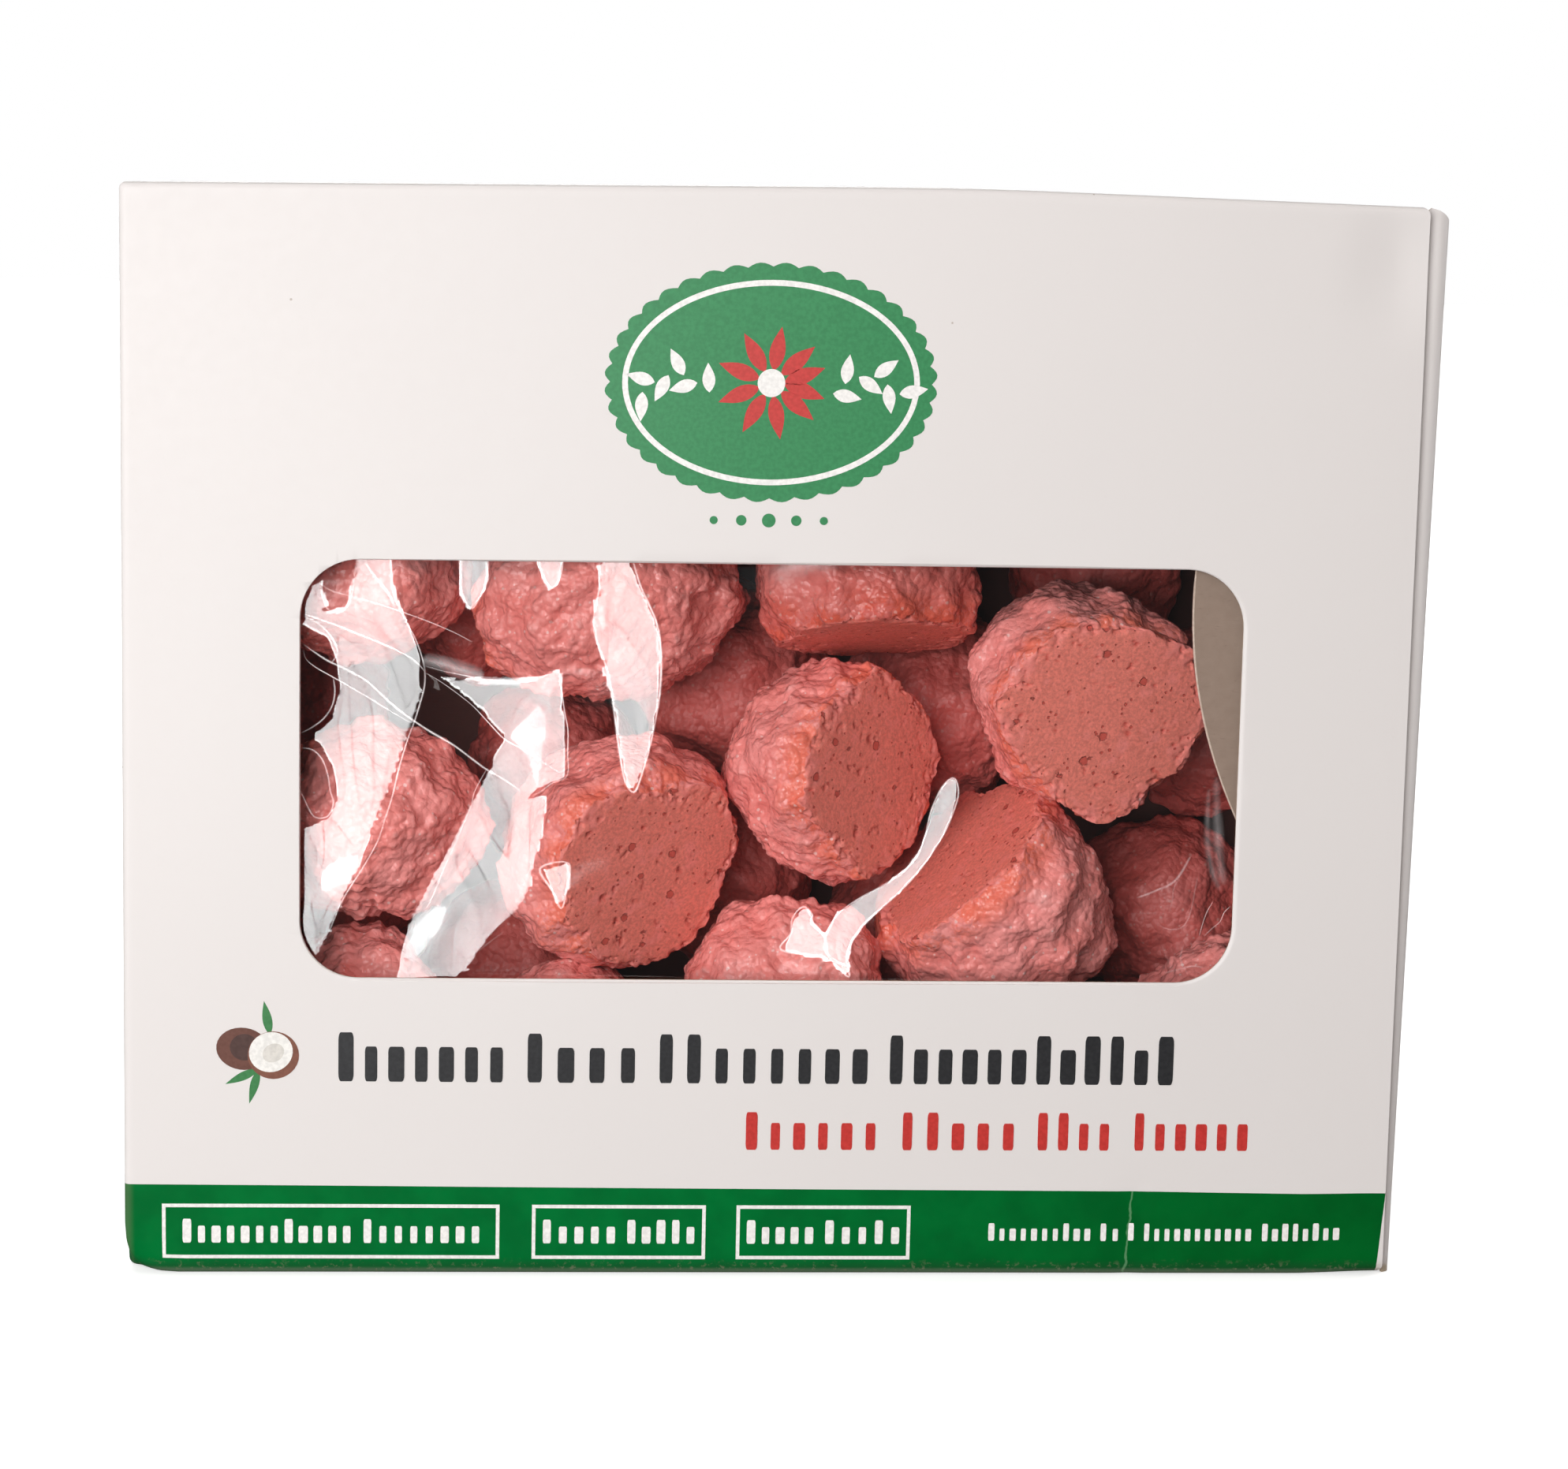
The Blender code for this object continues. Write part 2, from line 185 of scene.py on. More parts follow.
def ramp(tree, value, low, high, to_low=0.0, to_high=1.0, smooth=True):
    """Maps value from low..high to to_low..to_high, held at both ends."""
    inputs = {0: value, 1: low, 2: high, 3: to_low, 4: to_high}
    kind = "SMOOTHSTEP" if smooth else "LINEAR"
    return add_node(tree, "ShaderNodeMapRange", inputs, interpolation_type=kind).outputs[0]


def mix_colours(tree, share, first, second, blend="MIX"):
    """Blends from the first colour to the second. Each may be three numbers or a socket."""
    node = add_node(tree, "ShaderNodeMix", data_type="RGBA", blend_type=blend)
    for index, value in ((0, share), (6, first), (7, second)):
        if isinstance(value, bpy.types.NodeSocket):
            tree.links.new(value, node.inputs[index])
        elif index:
            node.inputs[index].default_value = (*value, 1.0)
        else:
            node.inputs[index].default_value = value
    return node.outputs[2]


def tinted(tree, colour, tint):
    """The colour multiplied by the tint, channel by channel."""
    return mix_colours(tree, 1.0, colour, tint, blend="MULTIPLY")


def times(colour, *factors):
    """Each channel of a plain colour times one factor, or times its own."""
    return [min(1.0, channel * factor) for channel, factor in zip(colour, factors * 3)]


def noise_at(tree, place, size, detail=2.0, roughness=0.5):
    """Noise from 0 to 1 whose features are about size metres across."""
    inputs = {"Vector": place, "Scale": 1.0 / size, "Detail": detail, "Roughness": roughness}
    return add_node(tree, "ShaderNodeTexNoise", inputs).outputs["Fac"]


def cells_at(tree, place, size):
    """Scattered cells about size metres across: Distance from each one's middle, and a random Color."""
    return add_node(tree, "ShaderNodeTexVoronoi", {"Vector": place, "Scale": 1.0 / size}).outputs


def attribute(tree, name):
    """A value that the mesh stores for each point."""
    return add_node(tree, "ShaderNodeAttribute", attribute_name=name).outputs["Fac"]


def bump(tree, height, distance, strength=1.0, normal=None):
    inputs = {"Height": height, "Distance": distance, "Strength": strength}
    if normal:
        inputs["Normal"] = normal
    return add_node(tree, "ShaderNodeBump", inputs).outputs[0]


def new_shader(name):
    """A material, its tree, its Principled node and its Object coordinates."""
    material = bpy.data.materials.new(name)
    material.use_nodes = True
    tree = material.node_tree
    place = add_node(tree, "ShaderNodeTexCoord").outputs["Object"]
    return material, tree, tree.nodes["Principled BSDF"], place


def finish_shader(tree, shader, colour, roughness, normal=None):
    for name, value in (("Base Color", colour), ("Roughness", roughness), ("Normal", normal)):
        if isinstance(value, bpy.types.NodeSocket):
            tree.links.new(value, shader.inputs[name])
        elif value is not None:
            shader.inputs[name].default_value = value


def link_new(name, mesh, *materials):
    obj = bpy.data.objects.new(name, mesh)
    bpy.context.scene.collection.objects.link(obj)
    for material in materials:
        mesh.materials.append(material)
    return obj


def mesh_of(bm, name):
    mesh = bpy.data.meshes.new(name)
    bm.to_mesh(mesh)
    bm.free()
    return mesh


def baked(obj):
    """Replaces the object's modifiers by their result."""
    graph = bpy.context.evaluated_depsgraph_get()
    mesh = bpy.data.meshes.new_from_object(obj.evaluated_get(graph))
    obj.modifiers.clear()
    obj.data = mesh
    return obj


def remove_object(obj):
    bpy.data.objects.remove(obj, do_unlink=True)


def geometry_tree(name, inputs):
    """A geometry node group with named inputs of the given kinds, and each input's identifier by name."""
    tree = bpy.data.node_groups.new(name, "GeometryNodeTree")
    tree.interface.new_socket("Geometry", in_out="OUTPUT", socket_type="NodeSocketGeometry")
    names = {}
    for label, kind in (("Geometry", "Geometry"), *inputs):
        socket = tree.interface.new_socket(label, in_out="INPUT", socket_type="NodeSocket" + kind)
        names[label] = socket.identifier
    return tree, names


def close_tree(tree, geometry, material):
    """Ends the group as one plain mesh of one material."""
    real = add_node(tree, "GeometryNodeRealizeInstances", {0: geometry}).outputs[0]
    finished = add_node(tree, "GeometryNodeSetMaterial", {"Geometry": real, "Material": material}).outputs[0]
    add_node(tree, "NodeGroupOutput", {0: finished})


def run_tree(obj, tree, names, values):
    """Puts the group on the object with its inputs set, and bakes the result."""
    modifier = obj.modifiers.new(tree.name, "NODES")
    modifier.node_group = tree
    for label, value in values.items():
        modifier[names[label]] = value
    return baked(obj)


def ship(obj, slot, *replaced):
    """Moves a piece from the panels' middle to the frame, and hands it over."""
    obj.data.transform(Matrix.Translation((PANEL_X, 0.0, 0.0)))
    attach(obj, "root")
    if replaced:
        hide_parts(*replaced)
    return obj


# The carton board.


def warp(point):
    """The board's gentle bulges and dents, as in the frame, and finer ones of the board's own."""
    x, y, z = point
    across = math.cos(math.pi * 0.5 * min(1.0, abs(x) / HALF_WIDTH))
    up = math.sin(math.pi * clamp(z / PANEL_HEIGHT))
    y += PANEL_BULGE * across * up * (y / BACK)
    from_peak = math.hypot(x - CROWN_X, CROWN_BLUNTNESS) - CROWN_BLUNTNESS
    span = HALF_WIDTH + abs(CROWN_X) if x < CROWN_X else HALF_WIDTH - abs(CROWN_X)
    crown = 1.0 - min(1.0, from_peak / span)
    z += TOP_CROWN * crown * max(0.0, z / PANEL_HEIGHT) ** 2
    return dent(Vector((x, y, z)))


def dent(point):
    """Presses in the front's bottom left corner and lifts its bottom right one."""
    corner = Vector((-HALF_WIDTH, FRONT, 0.0))
    near = max(0.0, 1.0 - (point - corner).length / DENT_SIZE)
    point = point + Vector((1.0, 1.0, 1.0)).normalized() * DENT_DEPTH * near * near
    if point.x < HALF_WIDTH + LID_GAP / 2:
        to_right = smooth_share((point.x / HALF_WIDTH - LIFT_START) / (1.0 - LIFT_START))
        to_front = smooth_share(point.y / FRONT)
        to_bottom = smooth_share(1.0 - point.z / (0.2 * PANEL_HEIGHT))
        point.z += LIFTED_CORNER * to_right * to_front * to_bottom
    return soften(point)


def soften(point):
    """Fine unevenness of the front: a tucked-in foot, a pressed crease, and slow waves of the board."""
    front = smooth_share(1.0 - (point.y - FRONT) / (3.0 * MM))
    if front <= 0.0:
        return point
    waves = noise.noise(Vector((point.x * 28.0, 3.1, point.z * 28.0)))
    foot = clamp(1.0 - point.z / (2.6 * MM))
    crease_x = 47.2 * MM + 0.06 * (point.z - 6.0 * MM)
    crease = math.exp(-((point.x - crease_x) / (0.7 * MM)) ** 2)
    crease *= smooth_share((13.0 * MM - point.z) / (3.0 * MM))
    soft_corner = Vector((point.x - 76.0 * MM, 0.0, (point.z - 129.0 * MM) * 0.6)).length
    push = 0.10 * MM * waves + 0.55 * MM * foot * foot + 0.22 * MM * crease
    push += 0.55 * MM * smooth_share(1.0 - soft_corner / (7.0 * MM))
    return Vector((point.x, point.y + push * front, point.z))


def front_point(x, z, proud=0.0):
    """A point on the front panel's face, or a little proud of it."""
    point = warp((x, FRONT, z))
    return Vector((point.x, point.y - proud, point.z))


def box_mesh(low, high):
    bm = bmesh.new()
    bmesh.ops.create_cube(bm, size=1.0)
    bmesh.ops.scale(bm, vec=Vector(high) - Vector(low), verts=bm.verts)
    bmesh.ops.translate(bm, vec=(Vector(high) + Vector(low)) / 2, verts=bm.verts)
    return bm


def slice_at(bm, axis, position, slope=0.0):
    """Adds one flat cut across the mesh. A slope tips a level cut along X."""
    place = Vector((0.0, 0.0, 0.0))
    place[axis] = position
    normal = Vector((0.0, 0.0, 0.0))
    normal[axis] = 1.0
    if slope:
        normal = Vector((-slope, 0.0, 1.0)).normalized()
    everything = bm.verts[:] + bm.edges[:] + bm.faces[:]
    bmesh.ops.bisect_plane(bm, geom=everything, plane_co=place, plane_no=normal)


def steps_between(low, high, step, fine):
    """Cut positions: evenly between the ends, with extra ones close to each end."""
    count = round((high - low) / step)
    places = {round(low + (high - low) * index / count, 6) for index in range(1, count)}
    for near in fine:
        places |= {round(low + near, 6), round(high - near, 6)}
    return sorted(places)


def rounded_outline(width, height, radius, segments):
    """A rounded rectangle about the origin, as (x, z) points running anticlockwise."""
    points = []
    for turn, (sign_x, sign_z) in enumerate(((1, 1), (-1, 1), (-1, -1), (1, -1))):
        for index in range(segments + 1):
            angle = (turn + index / segments) * math.pi / 2
            x = sign_x * (width / 2 - radius) + radius * math.cos(angle)
            z = sign_z * (height / 2 - radius) + radius * math.sin(angle)
            points.append((x, z))
    return points


def loft(bm, loops, closed_loops=True, capped=False):
    """Faces between neighbouring loops of points, which all have the same count."""
    rows = [[bm.verts.new(point) for point in loop] for loop in loops]
    count = len(rows[0])
    for below, above in zip(rows, rows[1:]):
        for index in range(count if closed_loops else count - 1):
            after = (index + 1) % count
            bm.faces.new((below[index], below[after], above[after], above[index]))
    if capped:
        bm.faces.new(rows[0])
        bm.faces.new(rows[-1])
    return rows


def window_cutter():
    """The die that cuts the window. It rolls the board's face in, most at the right and the bottom."""
    rolled = 0.32 * MM
    bm = bmesh.new()
    depths = [(FRONT - BOARD, 1.0)]
    for index in range(7):
        angle = index / 6 * math.pi / 2
        depths.append((FRONT + rolled * (1.0 - math.cos(angle)), 1.0 - math.sin(angle)))
    depths.append((FRONT + 2 * BOARD, 0.0))
    loops = []
    for y, share in depths:
        width = WINDOW_WIDTH + 0.74 * MM * share
        height = WINDOW_HEIGHT + 0.54 * MM * share
        outline = rounded_outline(width, height, WINDOW_RADIUS + 0.32 * MM * share, 14)
        right, down = 0.22 * MM * share, 0.12 * MM * share
        loops.append([(WINDOW_X + right + x, y, WINDOW_Z - down + z) for x, z in outline])
    loft(bm, loops, capped=True)
    bmesh.ops.recalc_face_normals(bm, faces=bm.faces)
    return link_new("window_cutter", mesh_of(bm, "window_cutter"))


def slot_cutter():
    """Opens the board's right side behind the front, where the tongue goes in."""
    low = (HALF_WIDTH - 2 * BOARD, FRONT + BOARD, BOARD + SLOT_END_MARGIN)
    high = (HALF_WIDTH + BOARD, FRONT + TONGUE_SETBACK + 1.2 * MM, PANEL_HEIGHT - BOARD - SLOT_END_MARGIN)
    return link_new("slot_cutter", mesh_of(box_mesh(low, high), "slot_cutter"))


def lid_stands_out(z):
    """How far the lid stands out from the carton's side at this height."""
    return LID_OUT_BOTTOM + (LID_OUT_TOP - LID_OUT_BOTTOM) * z / PANEL_HEIGHT


def arc_points(centre, radius, start, end, count):
    angles = [start + (end - start) * index / (count - 1) for index in range(count)]
    return [(centre[0] + radius * math.cos(a), centre[1] + radius * math.sin(a)) for a in angles]


def lid_section(z):
    """The lid's middle line in plan, from inside the back panel round to the tongue's free edge."""
    outer = HALF_WIDTH + lid_stands_out(z) - LID_BOARD / 2
    hinge_y = BACK - BOARD / 2
    hinge_x = HALF_WIDTH + LID_GAP + LID_BOARD
    tongue_y = FRONT + TONGUE_SETBACK
    points = [(HALF_WIDTH - 4 * FOLD_RADIUS, hinge_y), (HALF_WIDTH - 1.5 * FOLD_RADIUS, hinge_y)]
    radius = hinge_x - HALF_WIDTH + 0.2 * MM
    points += arc_points((hinge_x - radius, hinge_y - radius), radius, math.pi / 2, 0.0, 6)
    start = points[-1]
    end = (outer, tongue_y + LID_FOLD)
    for index in range(1, 16):
        share = index / 16
        ease = math.sin(share * math.pi / 2)
        points.append((start[0] + (end[0] - start[0]) * ease, start[1] + (end[1] - start[1]) * share))
    points += arc_points((outer - LID_FOLD, tongue_y + LID_FOLD), LID_FOLD, 0.0, -math.pi / 2, 9)
    last_x = points[-1][0]
    from_tip = z - TONGUE_TIP_Z
    end_x = HALF_WIDTH - max(TONGUE_REACH - TONGUE_CURVE * from_tip * from_tip, TONGUE_LEAST)
    points += [(last_x + (end_x - last_x) * index / 10, tongue_y) for index in range(1, 11)]
    return points


def lid_drop(beyond, z):
    """How far the lid's rounded top sinks, more so further out."""
    share = min(1.0, beyond / lid_stands_out(z))
    near_top = max(0.0, 1.0 - (PANEL_HEIGHT - z) / (4 * LID_CORNER_DROP))
    return LID_CORNER_DROP * (1.0 - math.sqrt(max(0.0, 1.0 - share * share))) * near_top


def lid_sheet():
    """The side lid and its tongue, from the back fold round to the free edge."""
    bm = bmesh.new()
    loops = []
    rows = 60
    for index in range(rows + 1):
        z = PANEL_HEIGHT * index / rows
        inner_z = clamp(z, BOARD + 0.3 * MM, PANEL_HEIGHT - BOARD - 0.3 * MM)
        loop = []
        for x, y in lid_section(z):
            beyond = x - HALF_WIDTH - LID_GAP / 2
            loop.append((x, y, z - lid_drop(beyond, z)) if beyond > 0 else (x, y, inner_z))
        loops.append(loop)
    loft(bm, loops, closed_loops=False)
    bmesh.ops.recalc_face_normals(bm, faces=bm.faces)
    lid = link_new("lid_sheet", mesh_of(bm, "lid_sheet"))
    board = lid.modifiers.new("Board", "SOLIDIFY")
    board.thickness = LID_BOARD
    board.offset = 0.0
    return lid


def tongue_edge():
    """The tongue's raw free edge, where the cut lays the board's pale inside open."""
    bm = bmesh.new()
    rows, sides, radius = 80, 10, 0.15 * MM
    loops = []
    for index in range(rows + 1):
        z = clamp(PANEL_HEIGHT * index / rows, BOARD + 0.8 * MM, PANEL_HEIGHT - BOARD - 0.8 * MM)
        x, y = lid_section(z)[-1]
        reach = radius * (1.0 + 0.25 * noise.noise(Vector((z * 900.0, 0.5, 2.1))))
        angles = [2 * math.pi * side / sides for side in range(sides)]
        loops.append([(x + reach * math.cos(a), y - 0.08 * MM + reach * math.sin(a), z) for a in angles])
    loft(bm, loops[1:-1], capped=True)
    bmesh.ops.recalc_face_normals(bm, faces=bm.faces)
    for vert in bm.verts:
        vert.co = warp(vert.co)
    material, tree, shader, place = new_shader("raw_board")
    layers = noise_at(tree, place, 0.6 * MM, 3.0, 0.6)
    colour = mix_colours(tree, ramp(tree, layers, 0.3, 0.7), (0.62, 0.47, 0.38), (0.78, 0.66, 0.56))
    finish_shader(tree, shader, colour, 0.85)
    edge = link_new("tongue_raw_edge", mesh_of(bm, "tongue_raw_edge"), material)
    edge.data.shade_smooth()
    return edge


def box_shell(step):
    """The carton's box: rounded folds but for the right front edge, and cuts that let it bend."""
    low = Vector((-HALF_WIDTH, FRONT, 0.0))
    high = Vector((HALF_WIDTH, BACK, PANEL_HEIGHT))
    bm = box_mesh(low, high)
    folds = [edge for edge in bm.edges if not all(vert.co.x > 0 and vert.co.y < 0 for vert in edge.verts)]
    bmesh.ops.bevel(
        bm, geom=folds, offset=FOLD_RADIUS, segments=4, profile=0.5, affect="EDGES", clamp_overlap=True
    )
    for axis in range(3):
        fine = [FOLD_RADIUS + more * MM for more in (0.6, 1.2, 1.9, 2.8)]
        for place in steps_between(low[axis], high[axis], step, fine):
            if FOLD_RADIUS < place - low[axis] < high[axis] - low[axis] - FOLD_RADIUS:
                slice_at(bm, axis, place)
    shell = link_new("carton_board", mesh_of(bm, "carton_board"))
    board = shell.modifiers.new("Board", "SOLIDIFY")
    board.thickness = BOARD
    board.offset = -1.0
    board.use_even_offset = True
    return shell


# Finishes of the carton's faces, in the order of its material slots.
COATED, BAND, GREY_BACK, CUT_EDGE = range(4)
# The tongue is out of sight, and uncoated, from here on.
TUCKED_X = HALF_WIDTH - 0.6 * MM
# The foot band's top line falls gently to the right, and a little more beyond this place.
BAND_SLOPES = (-0.0045, -0.0150)
BAND_BEND = 50.0 * MM
# The green stops short of the right fold along this steep line.
BAND_END_SLOPE = 12.5


def band_end(x, band_top):
    """How high the slanted end of the green stands at x."""
    return band_top + BAND_END_SLOPE * (x - HALF_WIDTH)


def finish_of(centre, normal, band_top):
    """Which finish a face has, from where it lies before the board is bent."""
    x, y, z = centre
    skin = 0.35 * MM
    inside = abs(x) < HALF_WIDTH - skin and abs(y) < BACK - skin and skin < z < PANEL_HEIGHT - skin
    if inside and FRONT + 2 * BOARD < y < FRONT + TONGUE_SETBACK + LID_BOARD and x < TUCKED_X:
        return GREY_BACK
    if x > HALF_WIDTH + LID_GAP / 4:
        if abs(normal.z) > 0.7:
            return CUT_EDGE
        outward = normal.x > 0.25 or (normal.y < -0.25 and y < FRONT + TONGUE_SETBACK + LID_FOLD)
        return COATED if outward or y > BACK - 2 * MM else GREY_BACK
    if not inside:
        return BAND if band_end(x, band_top) < z < band_top else COATED
    beside = abs(x - WINDOW_X) - WINDOW_WIDTH / 2
    above = abs(z - WINDOW_Z) - WINDOW_HEIGHT / 2
    if max(beside, above) < BOARD and y < FRONT + BOARD - 0.01 * MM and abs(normal.y) < 0.5:
        return CUT_EDGE
    return GREY_BACK


def board_shader(settings):
    """White coating with faint clouds, a few specks and a scuffed foot."""
    material, tree, shader, place = new_shader("coated_board")
    cloud = noise_at(tree, place, 30 * MM, 2.0)
    colour = mix_colours(tree, cloud, settings.white, times(settings.white, 0.975))
    fibre = noise_at(tree, place, 0.35 * MM, 3.0)
    colour = mix_colours(tree, ramp(tree, fibre, 0.62, 0.80, 0.0, 0.10), colour, (0.66, 0.62, 0.57))
    speck = cells_at(tree, place, 9.0 * MM)["Distance"]
    colour = mix_colours(tree, ramp(tree, speck, 0.012, 0.022, 0.55, 0.0), colour, (0.30, 0.20, 0.13))
    foot = ramp(tree, split(tree, place)[2], 0.4 * MM, 2.2 * MM, 1.0, 0.0)
    scuffed = maths(tree, "MULTIPLY", foot, ramp(tree, noise_at(tree, place, 2.0 * MM, 4.0), 0.38, 0.62))
    colour = mix_colours(tree, scuffed, colour, (0.50, 0.41, 0.30))
    roughness = ramp(tree, noise_at(tree, place, 1.2 * MM, 3.0), 0.3, 0.7, 0.40, 0.50)
    normal = bump(tree, noise_at(tree, place, 2.4 * MM, 2.0), 0.012 * MM, 0.6)
    normal = bump(tree, fibre, 0.006 * MM, 0.5, normal)
    finish_shader(tree, shader, colour, roughness, normal)
    shader.inputs["Specular IOR Level"].default_value = 0.4
    return material


def band_shader(settings):
    """Green ink on the coated board, rubbed through to the board along the foot and at the crease; painted
    shade darkens it to the right and at the foot.
    """
    material, tree, shader, place = new_shader("green_ink")
    x, y, z = split(tree, place)
    cloud = noise_at(tree, place, 6 * MM, 4.0)
    colour = mix_colours(tree, ramp(tree, cloud, 0.3, 0.7), settings.green, times(settings.green, 1.25))
    # Painted shade: the green darkens towards the right, where less light falls.
    right = ramp(tree, x, -20.0 * MM, 75.0 * MM, 0.0, 1.0)
    colour = mix_colours(tree, right, colour, tinted(tree, colour, (0.4, 0.74, 0.55)))
    # Painted shade: the green darkens over the lowest 2.4 mm, where the foot turns under; the same mask
    # bounds the rubbed wear below.
    foot = ramp(tree, z, 0.5 * MM, 2.4 * MM, 1.0, 0.0)
    colour = mix_colours(tree, maths(tree, "MULTIPLY", foot, 0.60), colour, (0.016, 0.070, 0.028))
    turned = ramp(tree, z, 0.35 * MM, 1.1 * MM, 0.75, 0.0)
    colour = mix_colours(tree, turned, colour, (0.14, 0.21, 0.13))
    rub = noise_at(tree, place, 0.7 * MM, 5.0, 0.65)
    rubbed = maths(tree, "MULTIPLY", foot, ramp(tree, rub, 0.54, 0.66))
    left = ramp(tree, x, PANEL_X - HALF_WIDTH + 0.3 * MM, PANEL_X - HALF_WIDTH + 1.4 * MM, 0.45, 0.0)
    front = ramp(tree, y, FRONT + 1.5 * MM, FRONT + 3.0 * MM, 1.0, 0.0)
    worn = maths(tree, "MAXIMUM", rubbed, maths(tree, "MULTIPLY", left, front))
    colour = mix_colours(tree, maths(tree, "MULTIPLY", worn, 0.8), colour, (0.16, 0.19, 0.11))
    line_x = maths(tree, "MULTIPLY_ADD", z, 0.06, PANEL_X + 46.8 * MM)
    wobble = maths(tree, "MULTIPLY_ADD", noise_at(tree, place, 2.0 * MM), 1.2 * MM, -0.6 * MM)
    away = maths(tree, "ABSOLUTE", maths(tree, "ADD", maths(tree, "SUBTRACT", x, line_x), wobble))
    crease = maths(tree, "MULTIPLY", ramp(tree, away, 0.05 * MM, 0.22 * MM, 0.5, 0.0), front)
    colour = mix_colours(tree, crease, colour, (0.20, 0.42, 0.22))
    roughness = ramp(tree, noise_at(tree, place, 1.2 * MM, 3.0), 0.3, 0.7, 0.34, 0.46)
    normal = bump(tree, noise_at(tree, place, 2.4 * MM, 2.0), 0.012 * MM, 0.6)
    normal = bump(tree, rub, 0.02 * MM, 0.5, normal)
    finish_shader(tree, shader, colour, roughness, normal)
    shader.inputs["Specular IOR Level"].default_value = 0.05
    return material


def grey_back_shader():
    """The board's uncoated side: pressed grey-brown fibre, with painted shade further back inside the carton.
    """
    material, tree, shader, place = new_shader("uncoated_board")
    mottle = noise_at(tree, place, 1.6 * MM, 4.0, 0.6)
    colour = mix_colours(tree, mottle, (0.30, 0.215, 0.165), (0.40, 0.30, 0.235))
    stretched = vector_maths(tree, "MULTIPLY", place, (1.0, 1.0, 6.0))
    fibre = noise_at(tree, stretched, 1.1 * MM, 3.0, 0.7)
    colour = mix_colours(tree, ramp(tree, fibre, 0.60, 0.72, 0.0, 0.5), colour, (0.20, 0.13, 0.10))
    # Painted shade: darker further back inside the carton, tinted red as painted light thrown back by the
    # macaroons.
    painted_depth_shade = ramp(tree, split(tree, place)[1], FRONT + 4 * MM, FRONT + 12 * MM, 0.0, 0.94)
    colour = mix_colours(tree, painted_depth_shade, colour, (0.12, 0.030, 0.026))
    normal = bump(tree, fibre, 0.03 * MM, 0.5)
    finish_shader(tree, shader, colour, 0.82, normal)
    return material


def cut_edge_shader():
    """The board's cut edge, in thin layers."""
    material, tree, shader, place = new_shader("cut_board_edge")
    layers = noise_at(tree, vector_maths(tree, "MULTIPLY", place, (1.0, 9.0, 1.0)), 0.9 * MM, 3.0, 0.6)
    colour = mix_colours(tree, ramp(tree, layers, 0.3, 0.7), (0.30, 0.20, 0.13), (0.60, 0.49, 0.37))
    finish_shader(tree, shader, colour, 0.85, bump(tree, layers, 0.04 * MM, 0.6))
    return material


def cut_with(obj, other, operation):
    modifier = obj.modifiers.new(operation.title(), "BOOLEAN")
    modifier.operation = operation
    modifier.solver = "MANIFOLD"
    modifier.object = other


# The print.


def row_tree():
    """Repeats one flat shape along paths in the XZ plane, one row to each path."""
    tree, names = geometry_tree("Shapes along a path", (
        ("Shape", "Object"), ("Spacing", "Float"), ("Width", "Float"), ("Height", "Float"),
        ("First Height", "Float"), ("Tall Share", "Float"), ("Width Spread", "Float"),
        ("Follow Path", "Float"), ("Tilt", "Float"), ("Alternate Tilt", "Float"), ("Seed", "Int"),
        ("Material", "Material"),
    ))
    given = add_node(tree, "NodeGroupInput").outputs
    curve = add_node(tree, "GeometryNodeMeshToCurve", {"Mesh": given["Geometry"]}).outputs[0]
    resampled = add_node(
        tree, "GeometryNodeResampleCurve", {"Curve": curve, "Length": given["Spacing"]}, mode="LENGTH"
    ).outputs[0]
    tangent = add_node(tree, "GeometryNodeInputTangent").outputs[0]
    along = split(tree, tangent)
    heading = maths(tree, "MULTIPLY", maths(tree, "ARCTAN2", along[2], along[0]), given["Follow Path"])
    index = add_node(tree, "GeometryNodeInputIndex").outputs[0]
    side = maths(tree, "MULTIPLY_ADD", maths(tree, "MODULO", index, 2.0), 2.0, -1.0)
    turn = maths(tree, "ADD", heading, given["Tilt"])
    turn = maths(tree, "MULTIPLY_ADD", side, given["Alternate Tilt"], turn)
    rotation = joined(tree, 0.0, maths(tree, "MULTIPLY", turn, -1.0), 0.0)
    low = maths(tree, "SUBTRACT", 1.0, given["Width Spread"])
    spread = add_node(tree, "FunctionNodeRandomValue", {2: low, 3: 1.0, "Seed": given["Seed"]}).outputs[1]
    width = maths(tree, "MULTIPLY", given["Width"], spread)
    first = {"Start Size": 1, "End Size": 0}
    start = add_node(tree, "GeometryNodeCurveEndpointSelection", first).outputs[0]
    other_seed = maths(tree, "ADD", given["Seed"], 7)
    draw = add_node(tree, "FunctionNodeRandomValue", {2: 0.0, 3: 1.0, "Seed": other_seed}).outputs[1]
    tall = maths(tree, "MAXIMUM", start, maths(tree, "LESS_THAN", draw, given["Tall Share"]))
    taller = maths(tree, "SUBTRACT", given["First Height"], given["Height"])
    height = maths(tree, "MULTIPLY_ADD", tall, taller, given["Height"])
    size = joined(tree, width, 1.0, height)
    shape = add_node(tree, "GeometryNodeObjectInfo", {0: given["Shape"]}).outputs["Geometry"]
    placed = add_node(tree, "GeometryNodeInstanceOnPoints", {
        "Points": resampled, "Instance": shape, "Rotation": rotation, "Scale": size
    }).outputs[0]
    close_tree(tree, placed, given["Material"])
    return tree, names


def flat_mesh(name, outlines):
    """A mesh in the XZ plane with one face to each outline of (x, z) points."""
    bm = bmesh.new()
    for outline in outlines:
        bm.faces.new([bm.verts.new((x, 0.0, z)) for x, z in outline])
    return mesh_of(bm, name)


def ring_mesh(name, outer, inner):
    """A flat ring in the XZ plane between two outlines of the same count."""
    bm = bmesh.new()
    loft(bm, [[(x, 0.0, z) for x, z in loop] for loop in (outer, inner)])
    return mesh_of(bm, name)


